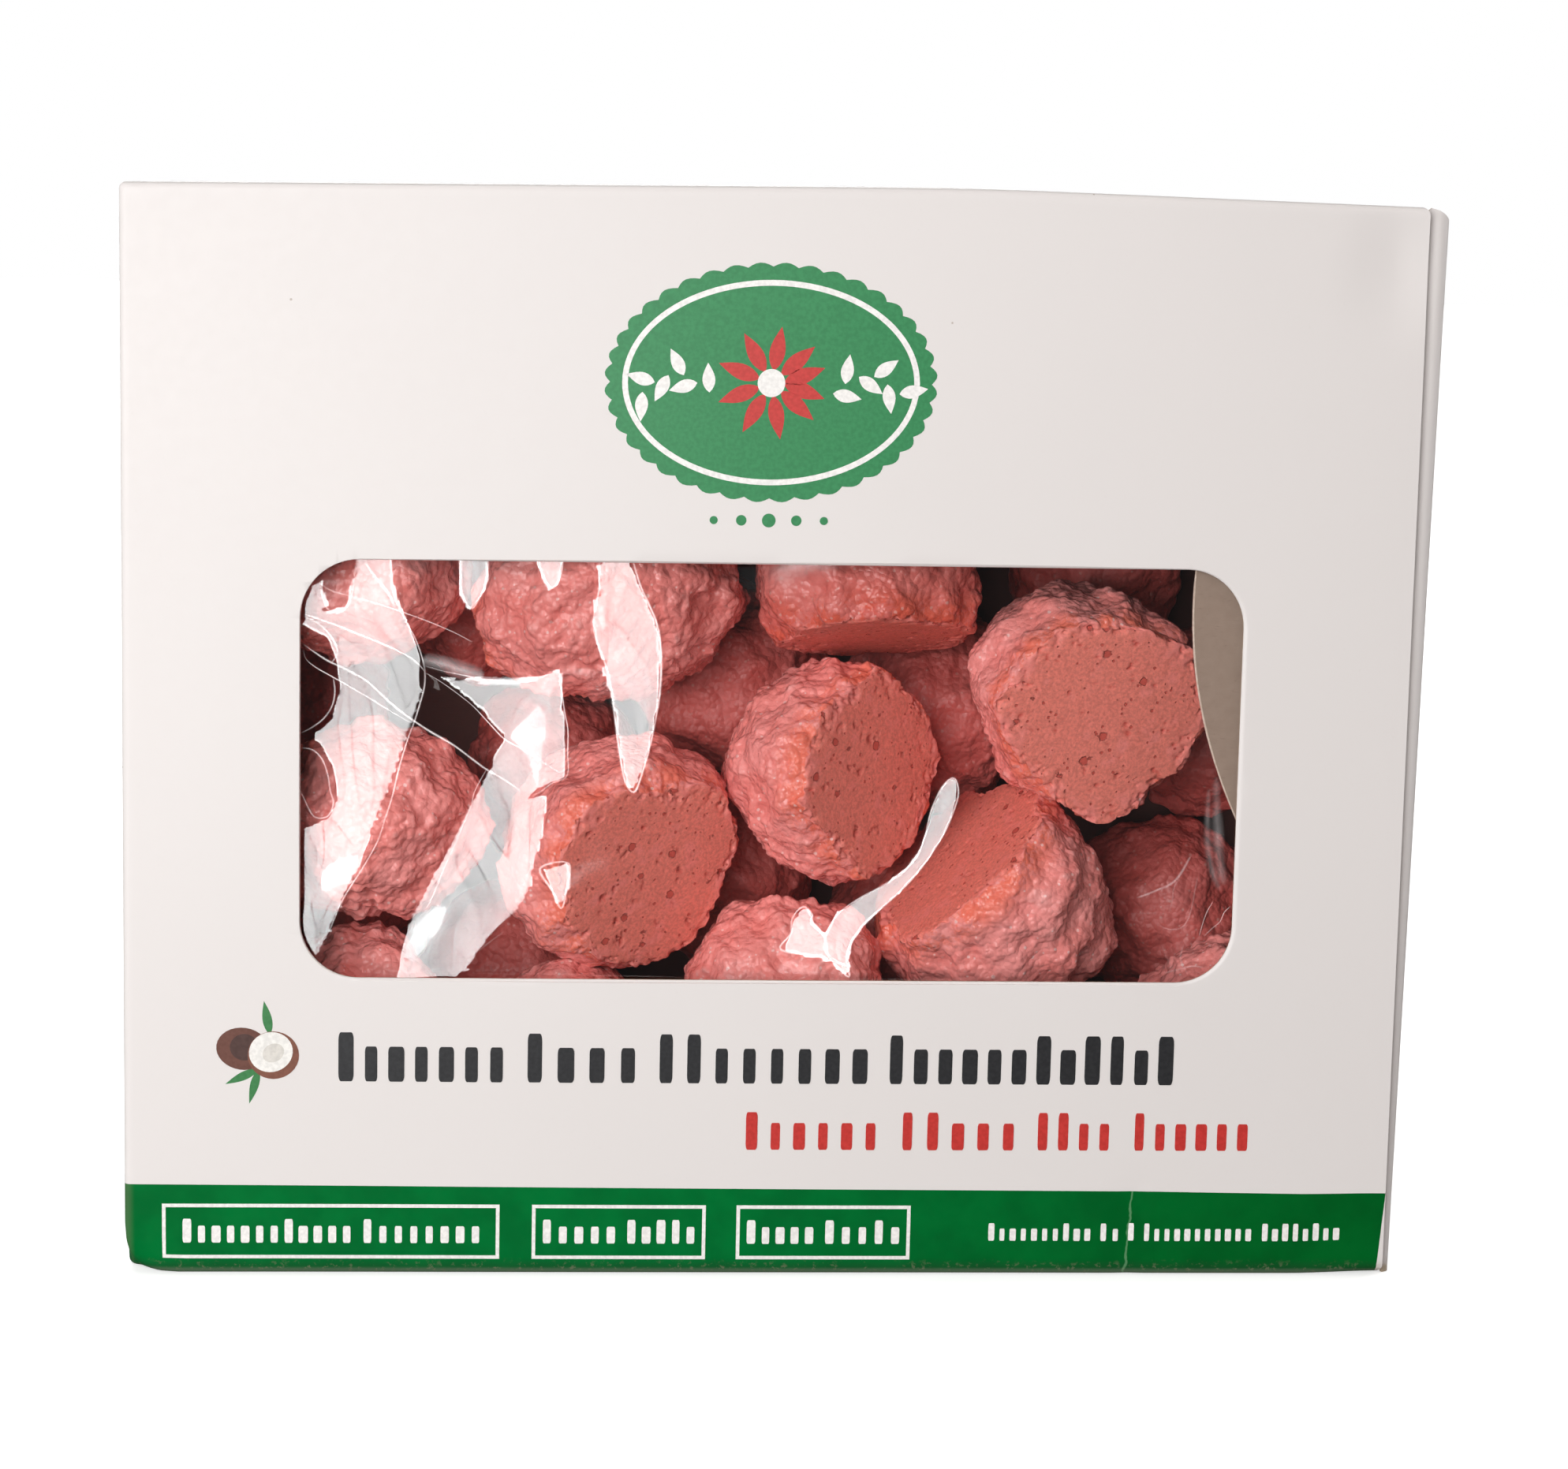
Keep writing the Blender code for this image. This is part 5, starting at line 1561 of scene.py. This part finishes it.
class CARTON_OT_print(bpy.types.Operator):
    """Lays the title's blocks, the frames and the small coconut shapes on the front panel"""

    bl_idname = "carton.print"
    bl_label = "Front Print"

    def execute(self, context):
        settings = context.scene.carton_print
        tree, names = row_tree()
        block = link_new("block", flat_mesh("block", [rounded_outline(1.0, 1.0, 0.16, 4)]))
        for vert in block.data.vertices:
            vert.co.z += 0.5
        inks = {
            "black": ink_shader("title_ink", settings.black),
            "red": ink_shader("red_ink", settings.red),
            "white": ink_shader("bare_white", settings.paper),
        }
        for name, ink, runs, level, spacing, width, height, first in BLOCK_ROWS:
            inset = [(left + width / 2, right - width / 2) for left, right in runs]
            row = link_new(name, path_mesh(name, runs_path(inset, level)))
            run_tree(row, tree, names, {
                "Shape": block, "Spacing": spacing * MM, "Width": width * MM, "Height": height * MM,
                "First Height": first * MM, "Tall Share": settings.tall_share,
                "Width Spread": settings.width_spread, "Follow Path": 0.0, "Tilt": 0.0, "Alternate Tilt": 0.0,
                "Seed": 4, "Material": inks[ink],
            })
            ship(ink_sheet(row, 1, step=6.0 * MM), "board")
        remove_object(block)
        bars = []
        low, high = FRAME_LEVELS
        for left, right in FRAMES:
            left, right = left * MM, right * MM
            under, over = low + FRAME_LINE, high - FRAME_LINE
            bars += [bar(left, right, low, under), bar(left, right, over, high)]
            bars += [bar(left, left + FRAME_LINE, under, over), bar(right - FRAME_LINE, right, under, over)]
        frames = link_new("band_frames", flat_mesh("band_frames", bars), inks["white"])
        ship(ink_sheet(frames, 1), "board")
        self.coconuts()
        return {"FINISHED"}

    def coconuts(self):
        """A whole coconut, half of one and four leaves, from flat shapes laid over each other."""
        leaves = [moved(leaf(4.4 * MM, 1.2 * MM), -62.0 * MM, 31.0 * MM, turn=100)]
        for turn in (150, 205, 255):
            leaves.append(moved(leaf(4.6 * MM, 1.1 * MM), -63.4 * MM, 26.6 * MM, turn=turn))
        inks = {
            "husk_ink": ink_shader("husk_ink", (0.125, 0.038, 0.022), 0.45),
            "husk_shadow_ink": ink_shader("husk_shadow_ink", (0.060, 0.020, 0.014), 0.45),
            "husk_rim_ink": ink_shader("husk_rim_ink", (0.19, 0.062, 0.034), 0.45),
            "flesh_ink": ink_shader("flesh_ink", (0.82, 0.80, 0.76)),
            "flesh_shadow_ink": ink_shader("flesh_shadow_ink", (0.66, 0.63, 0.58)),
            "leaf_ink": ink_shader("leaf_ink", (0.03, 0.19, 0.05)),
        }
        # Piece, width and height, middle, turn in degrees and ink, from the lowest layer up.
        rounds = (
            ("coconut_whole", 6.6, 5.4, -65.4, 29.2, -8, "husk_ink"),
            ("coconut_whole_shadow", 3.6, 3.4, -65.2, 29.4, 0, "husk_shadow_ink"),
            ("coconut_half", 6.4, 6.1, -61.6, 28.4, 0, "husk_rim_ink"),
            ("coconut_flesh", 5.5, 5.1, -61.9, 28.8, 20, "flesh_ink"),
            ("coconut_hollow", 2.8, 2.3, -61.6, 28.7, 30, "flesh_shadow_ink"),
        )
        shapes = [("coconut_leaves", leaves, "leaf_ink")]
        for name, width, height, x, z, turn, ink in rounds:
            shapes.append((name, [moved(ellipse(width * MM, height * MM, 32), x * MM, z * MM, turn)], ink))
        for layer, (name, outlines, ink) in enumerate(shapes):
            ship(ink_sheet(link_new(name, flat_mesh(name, outlines), inks[ink]), layer), "board")


class CARTON_OT_motif(bpy.types.Operator):
    """Lays a plain scalloped badge with a flower and two sprigs above the window"""

    bl_idname = "carton.motif"
    bl_label = "Badge"

    def execute(self, context):
        settings = context.scene.carton_print
        x, z = BADGE_PLACE
        green = ink_shader("badge_green", settings.green)
        red = ink_shader("badge_red", settings.red)
        white = ink_shader("badge_white", settings.paper)
        edge = ellipse(41.0 * MM, 29.0 * MM, 240, lobes=40, depth=0.035)
        field = link_new("badge_field", flat_mesh("badge_field", [moved(edge, x, z)]), green)
        ship(ink_sheet(field, 1), "board")
        outer = moved(ellipse(36.6 * MM, 24.8 * MM, 96), x, z)
        inner = moved(ellipse(35.2 * MM, 23.4 * MM, 96), x, z)
        ship(ink_sheet(link_new("badge_ring", ring_mesh("badge_ring", outer, inner), white), 2), "board")
        tree, names = row_tree()
        shapes = {
            "leaf": link_new("leaf", flat_mesh("leaf", [leaf(1.0, 0.44)])),
            "petal": link_new("petal", flat_mesh("petal", [leaf(1.0, 0.36)])),
        }
        eye_radius = 1.5 * MM
        angles = [2 * math.pi * index / 40 for index in range(41)]
        circle = [(x + eye_radius * math.cos(a), z + eye_radius * math.sin(a)) for a in angles]
        petals = {
            "Shape": shapes["petal"], "Spacing": 2 * math.pi * eye_radius / PETALS, "Width": 5.4 * MM,
            "Tilt": -math.pi / 2, "Alternate Tilt": 0.0, "Material": red,
        }
        self.row(tree, names, "badge_petals", circle, petals)
        eye = flat_mesh("badge_flower_eye", [moved(ellipse(3.4 * MM, 3.4 * MM), x, z)])
        ship(ink_sheet(link_new("badge_flower_eye", eye, white), 4), "board")
        leaves = {
            "Shape": shapes["leaf"], "Spacing": 1.75 * MM, "Width": 3.6 * MM,
            "Tilt": 0.0, "Alternate Tilt": 0.85, "Material": white,
        }
        for side, name in ((-1, "badge_sprig_left"), (1, "badge_sprig_right")):
            stem = []
            for index in range(9):
                across, rise = 7.6 + 8.2 * index / 8, 2.2 * math.sin(index / 8 * math.pi) - 1.2
                stem.append((x + side * across * MM, z + rise * MM))
            self.row(tree, names, name, stem, leaves)
        for shape in shapes.values():
            remove_object(shape)
        dots = [moved(ellipse(size * MM, size * MM, 24), x + step * 3.4 * MM, 95.9 * MM)
                for step, size in ((-2, 1.0), (-1, 1.3), (0, 1.7), (1, 1.3), (2, 1.0))]
        ship(ink_sheet(link_new("badge_dots", flat_mesh("badge_dots", dots), green), 1), "board")
        return {"FINISHED"}

    def row(self, tree, names, name, path, how):
        """Equal shapes along one path, each turned with it."""
        row = link_new(name, path_mesh(name, [path]))
        run_tree(row, tree, names, {
            **how, "Height": how["Width"], "First Height": how["Width"], "Tall Share": 0.0,
            "Width Spread": 0.0, "Follow Path": 1.0, "Seed": 1,
        })
        ship(ink_sheet(row, 2), "board")


class CARTON_OT_macaroons(bpy.types.Operator):
    """Bakes the macaroons: lumpy domes with a craggy crust and a flat, pored base"""

    bl_idname = "carton.macaroons"
    bl_label = "Macaroons"

    def execute(self, context):
        settings = context.scene.carton_macaroons
        crust = macaroon_shader(settings)
        tree, names = crust_tree()
        balls = {}
        for number, (placed, cells) in enumerate(placements(), 1):
            place, radius, base, stretch, turn = placed
            if cells not in balls:
                ball = ball_mesh(cells)
                balls[cells] = ball, [vert.co.copy() for vert in ball.vertices]
            ball, directions = balls[cells]
            mesh = ball.copy()
            points = body_points(directions, radius * MM, stretch, number)
            mesh.vertices.foreach_set("co", points.ravel())
            mesh.update()
            body = link_new(f"coconut_macaroon_{number:02d}", mesh)
            smoothness = 1.0 + 0.25 * math.sin(number * 2.4)
            run_tree(body, tree, names, {
                "Base Height": -BASE_CUT * radius * MM,
                "Lump Depth": settings.lump_depth, "Lump Size": 4.6 * MM,
                "Nodule Depth": settings.nodule_depth / smoothness, "Nodule Size": 2.5 * MM * smoothness,
                "Bead Depth": settings.bead_depth, "Bead Size": 1.35 * MM,
                "Grain Depth": settings.grain_depth / smoothness, "Grain Size": 0.9 * MM,
                "Pit Depth": 0.6 * MM, "Pit Size": 2.0 * MM, "Rim Softness": 0.8 * MM,
                "Seed": number, "Material": crust,
            })
            # Each point keeps its macaroon's share of painted shade.
            tone = body.data.attributes.new("top_row_shade_tone", "FLOAT", "POINT")
            tone.data.foreach_set("value", [TOP_ROW_SHADE.get(number, 0.0)] * len(body.data.vertices))
            away = -Vector(base).normalized()
            facing = away.to_track_quat("Z", "Y").to_matrix() @ Matrix.Rotation(math.radians(turn), 3, "Z")
            body.data.transform(Matrix.Translation(Vector(place) * MM) @ facing.to_4x4())
            ship(body, "macaroon", f"macaroon_{number:02d}")
        return {"FINISHED"}


class CARTON_OT_film(bpy.types.Operator):
    """Stretches the clear film behind the window, with its wrinkles and creases"""

    bl_idname = "carton.film"
    bl_label = "Window Film"

    def execute(self, context):
        settings = context.scene.carton_film
        half_width = WINDOW_WIDTH / 2 + FILM_MARGIN
        half_height = WINDOW_HEIGHT / 2 + FILM_MARGIN
        across = np.linspace(WINDOW_X - half_width, WINDOW_X + half_width, FILM_COLUMNS + 1)
        up = np.linspace(WINDOW_Z - half_height, WINDOW_Z + half_height, FILM_ROWS + 1)
        x, z = np.meshgrid(across, up)
        resting = [[warp((u, FRONT + BOARD, w))[1] for u in across] for w in up]
        rest = np.array(resting) + FILM_GAP
        offset = Vector((PANEL_X, 0.0, 0.0))
        lamp = {name: place - offset for name, place in key_places().items()}
        surface = rest + film_heights(x, z, rest, lamp, settings.rounds)
        points = np.stack([x, surface, z], axis=-1).reshape(-1, 3)
        index = np.arange(x.size).reshape(x.shape)
        corners = (index[:-1, :-1], index[:-1, 1:], index[1:, 1:], index[1:, :-1])
        faces = np.stack(corners, axis=-1).reshape(-1, 4)
        mesh = bpy.data.meshes.new("clear_film_sheet")
        mesh.from_pydata(points.tolist(), [], faces.tolist())
        film = link_new("clear_film_sheet", mesh, film_shader())
        sheet = film.modifiers.new("Film", "SOLIDIFY")
        sheet.thickness = settings.thickness
        sheet.offset = 0.0
        baked(film)
        film.data.shade_smooth()
        ship(film, "clear_film", "window_film")
        self.folds(across, up, surface)
        return {"FINISHED"}

    def folds(self, across, up, surface):
        """Lays the white ribbons on the film's face: whitened folds, painted glints and painted highlight
        rims.
        """

        def height_at(u, w):
            column = clamp((u - across[0]) / (across[1] - across[0]), 0.0, FILM_COLUMNS - 0.001)
            row = clamp((w - up[0]) / (up[1] - up[0]), 0.0, FILM_ROWS - 0.001)
            i, j = int(row), int(column)
            a, b = row - i, column - j
            low = surface[i, j] * (1.0 - b) + surface[i, j + 1] * b
            high = surface[i + 1, j] * (1.0 - b) + surface[i + 1, j + 1] * b
            return low * (1.0 - a) + high * a

        folds = link_new("film_folds", fold_mesh(height_at, FOLD_PROUD), fold_shader())
        sheet = folds.modifiers.new("Sheet", "SOLIDIFY")
        sheet.thickness = 0.01 * MM
        sheet.offset = 0.0
        baked(folds)
        folds.data.shade_smooth()
        ship(folds, "clear_film")


def key_places():
    """The tall softbox: its edges at the height of the window, its middle, and the bright panel beyond."""
    target = Vector(FRONT_MIDDLE)
    along, across = math.sin(SOFTBOX_TURN), math.cos(SOFTBOX_TURN)
    level = target + Vector((-along, -across, 0.0)) * SOFTBOX_AWAY + Vector((0.0, 0.0, 0.02))
    middle = level + Vector((0.0, 0.0, SOFTBOX_RAISED))
    side = Vector((across, -along, 0.0))
    up = side.cross((target - middle).normalized())
    up *= math.copysign(1.0, up.z)
    reach = side * SOFTBOX_WIDTH / 2
    hot = level - reach - side * HOT_WIDTH / 2
    return {
        "middle": middle, "near": level + reach, "far": level - reach,
        "top": middle + up * SOFTBOX_HEIGHT / 2, "bottom": middle - up * SOFTBOX_HEIGHT / 2,
        "hot": hot, "hot_far": hot - side * HOT_WIDTH / 2,
        "hot_top": hot + up * HOT_HEIGHT / 2, "hot_bottom": hot - up * HOT_HEIGHT / 2,
    }


class CARTON_OT_stage(bpy.types.Operator):
    """Sets up the pale floor, the soft lights and the camera"""

    bl_idname = "carton.stage"
    bl_label = "Stage"

    def execute(self, context):
        settings = context.scene.carton_stage
        self.floor(settings.floor_colour)
        places = key_places()
        middle = places["middle"]
        target = Vector(FRONT_MIDDLE)
        side = (places["near"] - places["far"]).normalized()
        panel = SOFTBOX_WIDTH / 3
        for name, step, share in (("near", 1, 0.31), ("middle", 0, 0.35), ("far", -1, 0.34)):
            place = middle + side * panel * step
            self.lamp(f"softbox_{name}", place, target, panel, SOFTBOX_HEIGHT, settings.key_power * share)
        edge = middle + side * (SOFTBOX_WIDTH / 2 + SOFTBOX_RIM * 0.55)
        self.lamp("softbox_rim", edge, target, SOFTBOX_RIM, SOFTBOX_HEIGHT, settings.rim_power)
        self.lamp("bright_panel", places["hot"], target, HOT_WIDTH, HOT_HEIGHT, settings.hot_power)
        for name, place, aim, width, height, power, colour in FILL_LIGHTS:
            self.lamp(name, Vector(place), Vector(aim), width, height, power, colour)
        self.sun(settings.sun_power)
        self.world()
        self.camera(context)
        return {"FINISHED"}

    def floor(self, colour):
        """A pale floor that glows a little, more so further out, so that it meets the backdrop unseen."""
        reach, below = 4.0, -0.1 * MM
        corners = ((-reach, -reach), (reach, -reach), (reach, reach), (-reach, reach))
        mesh = bpy.data.meshes.new("floor")
        mesh.from_pydata([(x, y, below) for x, y in corners], [], [(0, 1, 2, 3)])
        material, tree, shader, place = new_shader("pale_floor")
        shade = mix_colours(tree, noise_at(tree, place, 0.4, 1.0), colour, times(colour, 0.985))
        finish_shader(tree, shader, shade, 0.7)
        away = add_node(tree, "ShaderNodeVectorMath", {0: place}, operation="LENGTH").outputs["Value"]
        tree.links.new(ramp(tree, away, 0.25, 1.2, 0.60, 1.0), shader.inputs["Emission Strength"])
        shader.inputs["Emission Color"].default_value = (1.0, 1.0, 1.0, 1.0)
        floor = link_new("floor", mesh, material)
        floor.visible_glossy = False
        floor.visible_diffuse = False

    def sun(self, power):
        """A wide, soft light from straight above: it brightens the floor and hardly touches the front."""
        light = bpy.data.lights.new("overhead", "SUN")
        light.energy = power
        light.angle = math.radians(40)
        obj = bpy.data.objects.new("overhead", light)
        bpy.context.scene.collection.objects.link(obj)

    def lamp(self, name, place, target, width, height, power, colour=WHITE):
        light = bpy.data.lights.new(name, "AREA")
        light.color = colour
        light.shape = "RECTANGLE"
        light.size = width
        light.size_y = height
        light.energy = power
        obj = bpy.data.objects.new(name, light)
        bpy.context.scene.collection.objects.link(obj)
        obj.location = place
        obj.rotation_euler = (target - place).to_track_quat("-Z", "Y").to_euler()
        obj.visible_camera = False

    def world(self):
        """A pale backdrop to the eye, soft light from all round, and little of either in reflections."""
        world = bpy.data.worlds.new("studio")
        bpy.context.scene.world = world
        world.use_nodes = True
        tree = world.node_tree
        tree.nodes.clear()
        path = add_node(tree, "ShaderNodeLightPath").outputs
        soft, mirrored, seen = [
            add_node(tree, "ShaderNodeBackground", {"Color": (*colour, 1.0), "Strength": strength}).outputs[0]
            for colour, strength in (((1.0, 0.90, 0.875), 0.15), (WHITE, 0.06), (WHITE, 1.0))
        ]
        mixed = {0: path["Is Glossy Ray"], 1: soft, 2: mirrored}
        mixed = add_node(tree, "ShaderNodeMixShader", mixed).outputs[0]
        mixed = {0: path["Is Camera Ray"], 1: mixed, 2: seen}
        mixed = add_node(tree, "ShaderNodeMixShader", mixed).outputs[0]
        add_node(tree, "ShaderNodeOutputWorld", {"Surface": mixed})

    def camera(self, context):
        data = bpy.data.cameras.new("camera")
        data.sensor_width = 36.0
        data.lens = CAMERA_LENS
        data.clip_start = 0.01
        camera = bpy.data.objects.new("camera", data)
        context.scene.collection.objects.link(camera)
        right, up, back = Vector(CAMERA_RIGHT), Vector(CAMERA_UP), Vector(CAMERA_BACK)
        turn = Matrix((right, up, back)).transposed().to_4x4()
        camera.matrix_world = Matrix.Translation(CAMERA_PLACE) @ turn
        context.scene.camera = camera
        context.scene.view_settings.view_transform = "Standard"


class CARTON_PT_sidebar(bpy.types.Panel):
    """Lists the carton's pieces and their settings"""

    bl_idname = "CARTON_PT_sidebar"
    bl_label = "Macaroon Carton"
    bl_space_type = "VIEW_3D"
    bl_region_type = "UI"
    bl_category = "Macaroon Carton"

    def draw(self, context):
        for operator, group in STEPS:
            box = self.layout.box()
            box.operator(operator.bl_idname)
            settings = getattr(context.scene, group)
            for name in type(settings).__annotations__:
                box.prop(settings, name)


STEPS = (
    (CARTON_OT_board, "carton_board"),
    (CARTON_OT_print, "carton_print"),
    (CARTON_OT_motif, "carton_print"),
    (CARTON_OT_macaroons, "carton_macaroons"),
    (CARTON_OT_film, "carton_film"),
    (CARTON_OT_stage, "carton_stage"),
)
GROUPS = (
    ("carton_board", CartonSettings),
    ("carton_print", PrintSettings),
    ("carton_film", FilmSettings),
    ("carton_macaroons", MacaroonSettings),
    ("carton_stage", StageSettings),
)


def register():
    for name, group in GROUPS:
        bpy.utils.register_class(group)
        setattr(bpy.types.Scene, name, PointerProperty(type=group))
    for operator, _ in STEPS:
        bpy.utils.register_class(operator)
    bpy.utils.register_class(CARTON_PT_sidebar)


def unregister():
    bpy.utils.unregister_class(CARTON_PT_sidebar)
    for operator, _ in reversed(STEPS):
        bpy.utils.unregister_class(operator)
    for name, group in reversed(GROUPS):
        delattr(bpy.types.Scene, name)
        bpy.utils.unregister_class(group)


def main():
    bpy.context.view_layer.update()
    register()
    bpy.ops.carton.board()
    bpy.ops.carton.print()
    bpy.ops.carton.motif()
    bpy.ops.carton.macaroons()
    bpy.ops.carton.film()
    bpy.ops.carton.stage()


if __name__ == "__main__":
    main()
